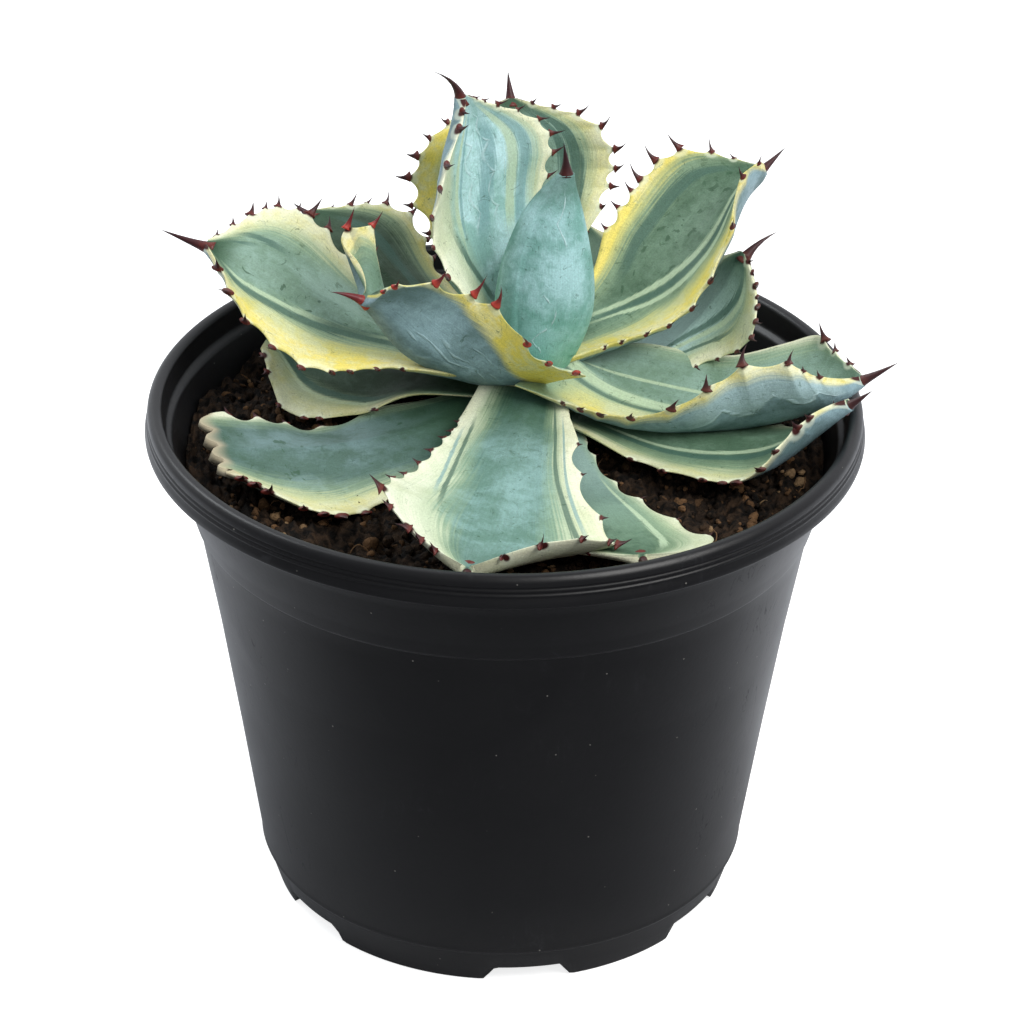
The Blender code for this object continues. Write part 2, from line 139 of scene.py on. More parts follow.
def stretch(tree, along, across, lengthwise, crosswise):
    """A place on a leaf, with its length and its width scaled apart."""
    return add_node(tree, "ShaderNodeCombineXYZ", {0: times(tree, along, lengthwise),
                                                   1: times(tree, across, crosswise)}).outputs[0]


def ramp(tree, value, start, stop):
    """0 below start and 1 above stop, or the other way round, with a soft passage between."""
    node = add_node(tree, "ShaderNodeMapRange", {"Value": value, "From Min": start,
                                                 "From Max": stop})
    node.interpolation_type = "SMOOTHSTEP"
    return node.outputs[0]


def blend(tree, share, first, second):
    """Two colours mixed."""
    node = add_node(tree, "ShaderNodeMix", {0: share, 6: first, 7: second}, data_type="RGBA")
    return node.outputs[2]


def noise(tree, vector, scale, detail=2.0, distortion=0.0):
    """Smooth noise between 0 and 1."""
    node = add_node(tree, "ShaderNodeTexNoise", {"Vector": vector, "Scale": scale,
                                                 "Detail": detail, "Distortion": distortion})
    return node.outputs["Fac"]


def read_attribute(tree, name):
    """The three numbers that each point of a piece carries under this name."""
    stored = add_node(tree, "ShaderNodeAttribute", attribute_name=name).outputs["Vector"]
    return add_node(tree, "ShaderNodeSeparateXYZ", {0: stored}).outputs


def add_bump(tree, shader, height, strength, distance):
    """Fine relief, which only tilts the light."""
    bump = add_node(tree, "ShaderNodeBump", {"Height": height, "Strength": strength,
                                             "Distance": distance})
    tree.links.new(bump.outputs[0], shader["Normal"])


def in_millimetres(tree):
    """Where a point is on the object, in millimetres."""
    place = add_node(tree, "ShaderNodeTexCoord").outputs["Object"]
    return add_node(tree, "ShaderNodeVectorMath", {0: place, 3: 1 / MM},
                    operation="SCALE").outputs[0]


def new_group(name, numbers, outputs):
    """An empty node group with number inputs and outputs, and its two end nodes."""
    group = bpy.data.node_groups.new(name, "ShaderNodeTree")
    for label, value in numbers.items():
        socket = group.interface.new_socket(label, in_out="INPUT", socket_type="NodeSocketFloat")
        socket.default_value = value
    for label in outputs:
        group.interface.new_socket(label, in_out="OUTPUT", socket_type="NodeSocketFloat")
    start = group.nodes.new("NodeGroupInput")
    end = group.nodes.new("NodeGroupOutput")
    return group, start.outputs, end.inputs


def place_group(tree, group, **values):
    """A group placed in a material, with its inputs named in lower case."""
    node = tree.nodes.new("ShaderNodeGroup")
    node.node_tree = group
    for name, value in values.items():
        socket = node.inputs[name.replace("_", " ").capitalize()]
        if isinstance(value, bpy.types.NodeSocket):
            tree.links.new(value, socket)
        else:
            socket.default_value = value
    return node.outputs


def new_material(name):
    """A material with only its Principled shader, and that shader's inputs."""
    material = bpy.data.materials.new(name)
    material.use_nodes = True
    shader = material.node_tree.nodes["Principled BSDF"]
    return material, material.node_tree, shader.inputs


print("helpers ready")

# %% [markdown]
# ## The pattern of a variegated leaf
# The pale bands of a variegated agave are stripes of cells without green in them. They run the
# length of the leaf beside its margins, and they draw together at the root and at the tip. So the
# pattern is painted in the leaf's own measures: how far along it a point is, and what share of the
# half-width it lies from the midrib. Each skin point carries these two numbers.

# %% Bands along the margins
def through(tree, t, first, middle, last):
    """A bowed value: first where t is 0, middle where it is a half, last where it is 1."""
    chord = plus(tree, first, times(tree, t, minus(tree, last, first)))
    bow = minus(tree, middle, times(tree, plus(tree, first, last), 0.5))
    hump = times(tree, times(tree, t, minus(tree, 1.0, t)), 4.0)
    return plus(tree, chord, times(tree, bow, hump))


band_group, given, made = new_group(
    "margin_band", {"Along": 0, "Across": 0, "Left root": 0.6, "Left middle": 0.6,
                    "Left tip": 0.6, "Right root": 0.6, "Right middle": 0.6, "Right tip": 0.6,
                    "Softness": 0.1, "Wander": 0.1},
    ["Band", "Fringe", "Depth"])
tree = band_group
slow_place = stretch(tree, given["Along"], given["Across"], 5.0, 1.5)
fibre_place = stretch(tree, given["Along"], given["Across"], 3.0, 34.0)
slow = sway(tree, noise(tree, slow_place, 1.0, 2.0), given["Wander"])
feather = sway(tree, noise(tree, fibre_place, 1.0, 2.0), 0.30)
shift = plus(tree, slow, feather)
inner = minus(tree, 0.0, given["Softness"])
far_in = times(tree, given["Softness"], -3.2)
masks = {"Band": [], "Fringe": [], "Depth": []}
for sign, name in ((1.0, "Left"), (-1.0, "Right")):
    edge = through(tree, given["Along"], given[name + " root"], given[name + " middle"],
                   given[name + " tip"])
    share = times(tree, given["Across"], sign)
    past = plus(tree, minus(tree, share, edge), shift)
    masks["Band"].append(ramp(tree, past, inner, given["Softness"]))
    masks["Fringe"].append(ramp(tree, past, far_in, 0.0))
    masks["Depth"].append(ramp(tree, share, edge, 1.0))
for label, (first, second) in masks.items():
    tree.links.new(calc(tree, "MAXIMUM", first, second), made[label])
print("group", band_group.name)

# %% [markdown]
# Inside the margin bands run thin streaks, dark green or pale. One group draws one streak, and
# each leaf places it as often as it needs.

# %% Streaks
streak_group, given, made = new_group(
    "streak", {"Along": 0, "Across": 0, "First": 0.5, "Middle": 0.5, "Last": 0.5,
               "Width": 0.04, "Start": 0.1, "Stop": 0.9, "Wander": 0.08}, ["Streak"])
tree = streak_group
spot = add_node(tree, "ShaderNodeCombineXYZ", {0: given["Along"], 1: given["Middle"]}).outputs[0]
length = minus(tree, given["Stop"], given["Start"])
run = calc(tree, "DIVIDE", minus(tree, given["Along"], given["Start"]), length, clamp=True)
centre = through(tree, run, given["First"], given["Middle"], given["Last"])
swing = sway(tree, noise(tree, spot, 3.0, 1.0), given["Wander"])
away = calc(tree, "ABSOLUTE", minus(tree, minus(tree, given["Across"], centre), swing))
texture_place = stretch(tree, given["Along"], given["Across"], 6.0, 60.0)
ragged = times(tree, noise(tree, texture_place, 1.0, 2.0), 1.1)
away = times(tree, calc(tree, "DIVIDE", away, given["Width"]), ragged)
body = ramp(tree, away, 0.75, 0.35)
fade_in = ramp(tree, minus(tree, given["Along"], given["Start"]), -0.03, 0.09)
fade_out = ramp(tree, minus(tree, given["Stop"], given["Along"]), -0.03, 0.12)
tree.links.new(times(tree, body, times(tree, fade_in, fade_out)), made["Streak"])
print("group", streak_group.name)

# %% [markdown]
# While the leaves are still rolled together, the toothed margin of one presses a pale scalloped
# line into its neighbour, and the line stays for life. One group draws such a bud imprint.

# %% Bud imprints
imprint_group, given, made = new_group(
    "bud_imprint", {"Along": 0, "Across": 0, "Place": 0.2, "Slope": 0.0, "Waves": 5.0,
                    "Depth": 0.12, "Thickness": 0.028, "Start": 0.15, "Stop": 0.85},
    ["Line", "Beyond"])
tree = imprint_group
waves = times(tree, times(tree, given["Along"], given["Waves"]), math.pi)
wobble = add_node(tree, "ShaderNodeCombineXYZ", {0: given["Along"], 1: given["Across"],
                                                 2: given["Place"]}).outputs[0]
drift = sway(tree, noise(tree, wobble, 6.0, 1.0), 0.16)
arcs = times(tree, calc(tree, "ABSOLUTE", calc(tree, "SINE", waves)), given["Depth"])
lean = times(tree, minus(tree, given["Along"], 0.5), given["Slope"])
centre = plus(tree, plus(tree, given["Place"], lean), plus(tree, arcs, drift))
away = calc(tree, "DIVIDE", calc(tree, "ABSOLUTE", minus(tree, given["Across"], centre)),
            given["Thickness"])
line = ramp(tree, away, 1.0, 0.2)
broken = ramp(tree, noise(tree, wobble, 14.0, 1.0), 0.38, 0.55)
inside = times(tree, ramp(tree, minus(tree, given["Along"], given["Start"]), 0.0, 0.05),
              ramp(tree, minus(tree, given["Stop"], given["Along"]), 0.0, 0.05))
tree.links.new(times(tree, times(tree, line, broken), inside), made["Line"])
past_line = ramp(tree, minus(tree, centre, given["Across"]), -0.04, 0.04)
tree.links.new(times(tree, past_line, inside), made["Beyond"])
print("group", imprint_group.name)

# %% [markdown]
# Agave skin is matt with a fine bloom of wax. Up close it is granular, with cloudy patches where
# the wax is thicker, a few dark green rubs where it is gone, and hair-thin scratches.

# %% Waxy skin
wax_group, given, made = new_group(
    "waxy_skin", {"Grain size": 0.35, "Patch size": 11.0, "Rub amount": 0.5},
    ["Grain", "Patches", "Rubs", "Scratches", "Height"])
tree = wax_group
spot = in_millimetres(tree)
grain = noise(tree, spot, calc(tree, "DIVIDE", 1.0, given["Grain size"]), 2.0)
patches = noise(tree, spot, calc(tree, "DIVIDE", 1.0, given["Patch size"]), 3.0, 0.6)
mottle = noise(tree, spot, 0.55, 3.0, 0.8)
rub_line = minus(tree, 0.74, times(tree, given["Rub amount"], 0.14))
rubs = ramp(tree, noise(tree, spot, 0.26, 3.0, 1.6), rub_line, plus(tree, rub_line, 0.05))
thread = calc(tree, "ABSOLUTE", minus(tree, noise(tree, spot, 0.16, 2.0, 2.2), 0.5))
rare = ramp(tree, noise(tree, spot, 0.33, 1.0), 0.56, 0.62)
scratches = times(tree, ramp(tree, thread, 0.012, 0.003), rare)
height = plus(tree, times(tree, grain, 0.5), times(tree, mottle, 0.8))
height = minus(tree, height, times(tree, scratches, 0.5))
soft_patches = plus(tree, times(tree, patches, 0.7), times(tree, mottle, 0.3))
for label, value in (("Grain", grain), ("Patches", ramp(tree, soft_patches, 0.36, 0.66)),
                     ("Rubs", rubs), ("Scratches", scratches), ("Height", height)):
    tree.links.new(value, made[label])
print("group", wax_group.name)

# %% [markdown]
# ## The leaf's paint
# The paint of a leaf is laid in the order it grows: green flesh, wax over it, pale and dark
# streaks, then the cream or yellow margin, and brown horn round the teeth. The underside is
# greyer and bluer, but the margin band shows there too, because the cells lack green all through.

# %% Leaf colours
# The dark and slate greens are painted shade: darker copies of the green flesh for the leaves low in the
# rosette, which lie in the shade of those above.
FLESH = {"grey": (srgb(106, 134, 114), srgb(132, 160, 146)),
         "pale": (srgb(140, 182, 176), srgb(192, 226, 230)),
         "young": (srgb(114, 162, 154), srgb(166, 206, 208)),
         "deep": (srgb(76, 104, 82), srgb(104, 132, 110)),
         "blue": (srgb(94, 128, 116), srgb(128, 162, 158)),
         "shaded_slate": (srgb(80, 106, 96), srgb(110, 136, 136)),
         "dark": (srgb(50, 70, 50), srgb(72, 94, 76))}
UNDERSIDE = (srgb(100, 126, 128), srgb(138, 166, 174))
# A dark green for rubbed wax, scratches and the tip, and also painted shade at the leaf roots.
RUB_AND_SHADE_GREEN = srgb(50, 82, 58)
BLOOM = srgb(176, 206, 204)
DARK_STREAK = srgb(66, 98, 86)
MID_STREAK = srgb(112, 152, 156)
PALE_STREAK = srgb(178, 198, 166)
FRINGE = srgb(152, 174, 138)
CREAM = srgb(224, 230, 206)
YELLOW = srgb(234, 214, 98)
MARGIN_EDGE = srgb(176, 172, 88)
MARGIN_PALE = srgb(246, 243, 214)
IMPRINT = srgb(190, 216, 218)
HORN_BROWN = srgb(66, 24, 22)
WITHERED = srgb(182, 168, 142)
FIBRES_ACROSS = 60.0


def paint_leaf(name, look):
    """The material of one leaf: flesh and wax, streaks, margin band, imprints, horn collars."""
    material, tree, shader = new_material(name + "_skin")
    run, across, from_margin = read_attribute(tree, "leaf_place")
    under, collar, dry = read_attribute(tree, "leaf_side")
    wax = place_group(tree, wax_group, rub_amount=look.get("rubs", 0.4))
    left, right = look["edges"]
    band = place_group(tree, band_group, along=run, across=across, left_root=left[0],
                       left_middle=left[1], left_tip=left[2], right_root=right[0],
                       right_middle=right[1], right_tip=right[2],
                       softness=look.get("soft", 0.09), wander=look.get("wander", 0.2))
    grown = ramp(tree, run, look.get("cream_from", -0.2), look.get("cream_from", -0.2) + 0.12)
    fibre_place = stretch(tree, run, across, 4.0, FIBRES_ACROSS)
    fibre = noise(tree, fibre_place, 1.0, 2.0)

    flesh, bloom = FLESH[look.get("flesh", "grey")]
    upper = blend(tree, wax["Patches"], flesh, bloom)
    # The root tint: the dark rub green here is painted shade at the roots, where the leaves crowd and
    # shade one another; the bloom colour is the pale wax bloom of the root.
    tint, strength, reach = look.get("root", (RUB_AND_SHADE_GREEN, 0.5, 0.32))
    root_shade_and_tint = times(tree, ramp(tree, run, reach, reach * 0.2), strength)
    upper = blend(tree, root_shade_and_tint, upper, tint)
    at_tip = times(tree, ramp(tree, run, 0.8, 0.96), look.get("tip", 0.5))
    upper = blend(tree, at_tip, upper, RUB_AND_SHADE_GREEN)
    upper = blend(tree, times(tree, wax["Rubs"], 0.7), upper, RUB_AND_SHADE_GREEN)

    strength = blend(tree, ramp(tree, across, 0.2, -0.2), (look["yellow"][0],) * 3 + (1.0,),
                     (look["yellow"][1],) * 3 + (1.0,))
    strength = times(tree, strength, plus(tree, 0.45, times(tree, wax["Patches"], 0.7)), clamp=True)
    pale = blend(tree, times(tree, wax["Patches"], 0.35), CREAM, FRINGE)
    cream = blend(tree, strength, pale, YELLOW)
    paleness = minus(tree, 0.5, times(tree, strength, 0.42))
    bright = times(tree, ramp(tree, from_margin, 3.2, 0.6), paleness)
    cream = blend(tree, bright, cream, MARGIN_PALE)
    rim = times(tree, ramp(tree, from_margin, 0.9, 0.1), strength)
    cream = blend(tree, times(tree, rim, 0.6), cream, MARGIN_EDGE)
    crest = cream
    cream = blend(tree, times(tree, ramp(tree, band["Depth"], 0.6, 0.0), 0.5), cream, FRINGE)

    marks = {"pale": None, "mid": None, "dark": None}
    for where, width, start, stop, tone in look.get("streaks", ()):
        mask = place_group(tree, streak_group, along=run, across=across, first=where[0],
                           middle=where[1], last=where[2], width=width, start=start,
                           stop=stop)["Streak"]
        marks[tone] = mask if marks[tone] is None else calc(tree, "MAXIMUM", marks[tone], mask)
    upper = blend(tree, times(tree, band["Fringe"], 0.5), upper, FRINGE)
    if marks["pale"] is not None:
        upper = blend(tree, times(tree, marks["pale"], 0.8), upper, PALE_STREAK)
    painted = times(tree, times(tree, band["Band"], grown), look.get("cream", 0.95))
    upper = blend(tree, painted, upper, cream)
    for tone, strength, color in (("mid", 0.7, MID_STREAK), ("dark", 0.8, DARK_STREAK)):
        if marks[tone] is not None:
            upper = blend(tree, times(tree, marks[tone], strength), upper, color)

    lower = blend(tree, wax["Patches"], *UNDERSIDE)
    edge = through(tree, run, *look.get("under_edge", (0.85, 0.88, 0.95)))
    past = plus(tree, minus(tree, calc(tree, "ABSOLUTE", across), edge), sway(tree, fibre, 0.1))
    lower_band = ramp(tree, past, -0.08, 0.1)

    lines = None
    for where, slope, waves, depth, start, stop, face in look.get("imprints", ()):
        mark = place_group(tree, imprint_group, along=run, across=across, place=where,
                           slope=slope, waves=waves, depth=depth, start=start, stop=stop)
        line = mark["Line"]
        if face == "bloom":
            lower = blend(tree, times(tree, mark["Beyond"], 0.4), lower, IMPRINT)
        lines = line if lines is None else calc(tree, "MAXIMUM", lines, line)
    lower = blend(tree, lower_band, lower, crest)
    color = blend(tree, ramp(tree, under, 0.35, 0.65), upper, lower)

    height = plus(tree, wax["Height"], times(tree, fibre, 0.6))
    if lines is not None:
        color = blend(tree, times(tree, lines, look.get("imprint", 0.45)), color, IMPRINT)
        height = plus(tree, height, times(tree, lines, 1.4))
    color = blend(tree, times(tree, wax["Scratches"], 0.5), color, RUB_AND_SHADE_GREEN)
    tone = plus(tree, times(tree, wax["Grain"], 0.55), times(tree, fibre, 0.3))
    tone = plus(tree, 0.57, tone)
    tone = add_node(tree, "ShaderNodeCombineColor", {0: tone, 1: tone, 2: tone}).outputs[0]
    color = add_node(tree, "ShaderNodeMix", {0: 1.0, 6: color, 7: tone}, data_type="RGBA",
                     blend_type="MULTIPLY").outputs[2]
    color = blend(tree, times(tree, ramp(tree, collar, 0.18, 0.45), 0.45), color, CREAM)
    color = blend(tree, ramp(tree, collar, 0.62, 0.85), color, HORN_BROWN)
    color = blend(tree, times(tree, ramp(tree, dry, 0.2, 0.8), 0.9), color, WITHERED)

    tree.links.new(color, shader["Base Color"])
    rough = minus(tree, 0.60, times(tree, wax["Patches"], 0.14))
    tree.links.new(plus(tree, rough, times(tree, wax["Grain"], 0.08)), shader["Roughness"])
    shader["Specular IOR Level"].default_value = 0.32
    add_bump(tree, shader, height, 0.5, 0.00025)
    return material


# %% [markdown]
# Teeth and end spines are horn: dark maroon, redder and paler where they leave the leaf, drying
# to grey-brown at the point, with a satin surface and a fine grain.

# %% Horn
def paint_horn(name, base, middle, point):
    material, tree, shader = new_material(name)
    climb = read_attribute(tree, "leaf_place")[0]
    spot = in_millimetres(tree)
    grain = noise(tree, spot, 2.2, 3.0)
    climb = plus(tree, climb, sway(tree, grain, 0.3))
    color = blend(tree, ramp(tree, climb, 0.05, 0.4), base, middle)
    color = blend(tree, ramp(tree, climb, 0.55, 1.0), color, point)
    tree.links.new(color, shader["Base Color"])
    tree.links.new(plus(tree, 0.34, times(tree, grain, 0.25)), shader["Roughness"])
    add_bump(tree, shader, grain, 0.4, 0.0001)
    return material


HORN = {"maroon": paint_horn("horn_maroon", srgb(98, 34, 26), srgb(60, 22, 26), srgb(44, 26, 32)),
        "red": paint_horn("horn_red", srgb(168, 52, 40), srgb(104, 26, 32), srgb(62, 22, 32)),
        "brown": paint_horn("horn_brown", srgb(92, 44, 36), srgb(64, 34, 36), srgb(88, 70, 70)),
        "dark": paint_horn("horn_dark", srgb(66, 24, 22), srgb(50, 20, 24), srgb(40, 26, 32))}
print("horn finishes:", ", ".join(HORN))

# %% [markdown]
# ## The shape of a leaf
# A leaf is described at five places from its root to its spine: where its midrib runs, how wide
# each half is, and how steeply each half climbs. A smooth curve through those five gives all the
# places between. Each half is an arc, so the blade cups like a real one.

# %% Curves through a few values
ROOT_THICKNESS = 4.2
MARGIN_THICKNESS = 0.9
SPINE_RADIUS = 1.4
SCALLOP = 1.7
WIDEST_GAP = 0.1
BLADE_ROWS = 180
BLADE_COLUMNS = 37


def along(values, s):
    """A smooth curve through evenly spaced values, read at fractions s of its length."""
    v = np.asarray(values, float)
    v = np.concatenate(([2 * v[0] - v[1]], v, [2 * v[-1] - v[-2]]))
    spans = len(v) - 3
    i = np.clip(np.floor(s * spans).astype(int), 0, spans - 1)
    t = s * spans - i
    a, b, c, d = v[i], v[i + 1], v[i + 2], v[i + 3]
    return 0.5 * (2 * b + (c - a) * t + (2 * a - 5 * b + 4 * c - d) * t**2
                  + (3 * b - a - 3 * c + d) * t**3)


def midrib(leaf, s):
    """Points of a leaf's midrib, and its three directions there: outwards, sideways, upwards."""
    turn = math.radians(leaf["turn"])
    outwards = np.array([math.cos(turn), math.sin(turn), 0.0])
    level = np.array([-math.sin(turn), math.cos(turn), 0.0])

    def points(q):
        return (CROWN + along(leaf["reach"], q)[..., None] * outwards
                + along(leaf["height"], q)[..., None] * np.array([0, 0, 1.0]))

    step = 0.001
    direction = points(np.clip(s + step, 0, 1)) - points(np.clip(s - step, 0, 1))
    direction /= np.linalg.norm(direction, axis=-1)[..., None]
    side = level - (direction @ level)[..., None] * direction
    side /= np.linalg.norm(side, axis=-1)[..., None]
    return points(s), direction, side, np.cross(direction, side)


def scallop(s, teeth):
    """How far the margin swells at s: most at each tooth, least halfway between two."""
    before = np.clip(np.searchsorted(teeth, s) - 1, 0, len(teeth) - 2)
    gap = teeth[before + 1] - teeth[before]
    u = np.clip((s - teeth[before]) / gap, 0, 1)
    grown = np.clip((s - teeth[0]) / 0.15 + 1, 0, 1)
    return (np.abs(2 * u - 1) ** 2 - 0.4) * grown * np.clip(gap / WIDEST_GAP, 0.25, 1.2)


def half_blade(leaf, side, s, v, teeth):
    """Upper surface of one half at length fraction s and width fraction v, with directions."""
    place, direction, across, up = midrib(leaf, s)
    index, sign = (0, 1.0) if side == "left" else (1, -1.0)
    point_width = leaf.get("blunt", SPINE_RADIUS * 0.8)
    full = leaf.get("full", (0, 0))[index]
    width = along((*leaf[side], full or point_width), s)
    if full:
        closing = np.sqrt(1 - np.clip((s - 0.78) / 0.22, 0, 1) ** 2)
        width = width * closing + point_width * (1 - closing)
    bumps = scallop(s, teeth) * np.clip((1 - s) / 0.08, 0, 1)
    smooth = width
    width = width + leaf.get("scallop", SCALLOP) * bumps * v**2
    sway = leaf.get("sway", 3.0) * np.sin(2 * math.pi * (2.3 * s + 0.37 * leaf["turn"] + index))
    rise = np.radians(along(leaf["rise_" + side], s) + sway * np.sin(math.pi * s))
    cup = np.radians(leaf["cup"][index] + leaf.get("curl", (0, 0))[index] * s**3) + 1e-4
    start = rise - cup
    angle = start + 2 * cup * v
    sideways = width * (np.sin(angle) - np.sin(start)) / (2 * cup)
    climb = width * (np.cos(start) - np.cos(angle)) / (2 * cup)
    climb = climb + leaf.get("ruffle", 0.5) * bumps * v**6
    forwards = leaf.get("sweep", (0, 0))[index] * v**2 * 6.75 * s**2 * (1 - s)
    forwards = forwards - leaf.get("clasp", (1, 1))[index] * v**2 * np.clip(1 - s / 0.3, 0, 1) ** 2
    ragged = leaf.get("ragged", 0.0) * np.clip((s - 0.9) / 0.1, 0, 1) ** 2
    forwards = forwards + ragged * (np.abs(np.sin(7.3 * v * sign + 0.9)) - 0.5)
    point = (place + (sign * sideways)[..., None] * across + climb[..., None] * up
             + forwards[..., None] * direction)
    normal = np.cos(angle)[..., None] * up - (sign * np.sin(angle))[..., None] * across
    outward = (sign * np.cos(angle))[..., None] * across + np.sin(angle)[..., None] * up
    return point, normal, outward, direction, width, v * width / smooth


print("a midrib curve through five values:", along((0, 1, 3, 4, 4), np.linspace(0, 1, 5)))

# %% [markdown]
# ## Teeth and spines
# A tooth is a small bent cone on a broad oval foot. It is flat like a thorn, wider along the
# margin than across it. Rings of points are stacked along a bent axis and closed with one point.

# %% Horn shapes
HORN_SIDES = 12
HORN_LEVELS = np.array([0.0, 0.06, 0.13, 0.22, 0.34, 0.48, 0.64, 0.8, 0.93])


def horn_rings(foot, axis, bend, wide, flat, length, radii, sink, hollow=0.5):
    """Rings of a bent cone on foot, with axis directions axis, wide and flat, and its tip."""
    turn = 2 * math.pi * np.arange(HORN_SIDES) / HORN_SIDES
    rings = []
    for level in HORN_LEVELS:
        centre = foot + axis * (length * level - sink * (1 - level)) + bend * length * level**2
        size = (1 - level) * (1 - hollow + hollow * (1 - level) ** 4)
        rings.append(centre + np.outer(np.cos(turn) * radii[0] * size, wide)
                     + np.outer(np.sin(turn) * radii[1] * size, flat))
    return rings, foot + axis * length + bend * length


def ring_faces(first, size, count):
    """Quads that join count rings of the given size, starting at point number first."""
    faces = []
    for i in range(count - 1):
        a = first + i * size
        faces += [(a + j, a + (j + 1) % size, a + size + (j + 1) % size, a + size + j)
                  for j in range(size)]
    return faces


def turn_outwards(mesh):
    """Make every face of a closed mesh look outwards."""
    work = bmesh.new()
    work.from_mesh(mesh)
    bmesh.ops.recalc_face_normals(work, faces=work.faces)
    work.to_mesh(mesh)
    work.free()


def new_object(name, data):
    """An object placed in the scene."""
    thing = bpy.data.objects.new(name, data)
    bpy.context.scene.collection.objects.link(thing)
    return thing


class Skin:
    """Points and faces of one piece, with what its paint needs to know at each point."""

    def __init__(self):
        self.points, self.faces, self.finish = [], [], []
        self.place, self.side = [], []
        self.count = 0

    def add(self, points, faces, finish, place, side):
        self.faces += [tuple(self.count + i for i in face) for face in faces]
        self.finish += [finish] * len(faces)
        self.points.append(np.asarray(points, float))
        self.place.append(np.broadcast_to(place, (len(points), 3)))
        self.side.append(np.broadcast_to(side, (len(points), 3)))
        self.count += len(points)

    def add_horn(self, rings, tip, finish):
        """A horn's rings, closed at the foot where they are sunk in the leaf."""
        size = len(rings[0])
        points = np.concatenate([*rings, tip[None]])
        faces = ring_faces(0, size, len(rings))
        last = (len(rings) - 1) * size
        faces += [(last + j, last + (j + 1) % size, len(points) - 1) for j in range(size)]
        faces.append(tuple(range(size))[::-1])
        climb = np.append(np.repeat(HORN_LEVELS, size), 1.0)
        self.add(points, faces, finish, np.stack([climb, 0 * climb, 0 * climb], -1), (0, 0, 0))

    def build(self, name, materials, replaced):
        """The finished object, riding on the root body."""
        mesh = bpy.data.meshes.new(name)
        mesh.from_pydata(np.concatenate(self.points) * MM, [], self.faces)
        for material in materials:
            mesh.materials.append(material)
        mesh.polygons.foreach_set("material_index", self.finish)
        for label, rows in (("leaf_place", self.place), ("leaf_side", self.side)):
            layer = mesh.attributes.new(label, "FLOAT_VECTOR", "POINT")
            layer.data.foreach_set("vector", np.concatenate(rows).astype(np.float32).ravel())
        mesh.shade_smooth()
        turn_outwards(mesh)
        piece = new_object(name, mesh)
        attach(piece, "root")
        if replaced:
            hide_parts(replaced)
        return piece


print("a tooth has", HORN_SIDES * len(HORN_LEVELS) + 1, "points")

# %% [markdown]
# ## Growing one leaf
# The blade is a closed sleeve: its rings run across the upper face and back across the underside,
# and the two faces meet in a rounded margin. Rows are close together, so that the scallops between
# the teeth are smooth.

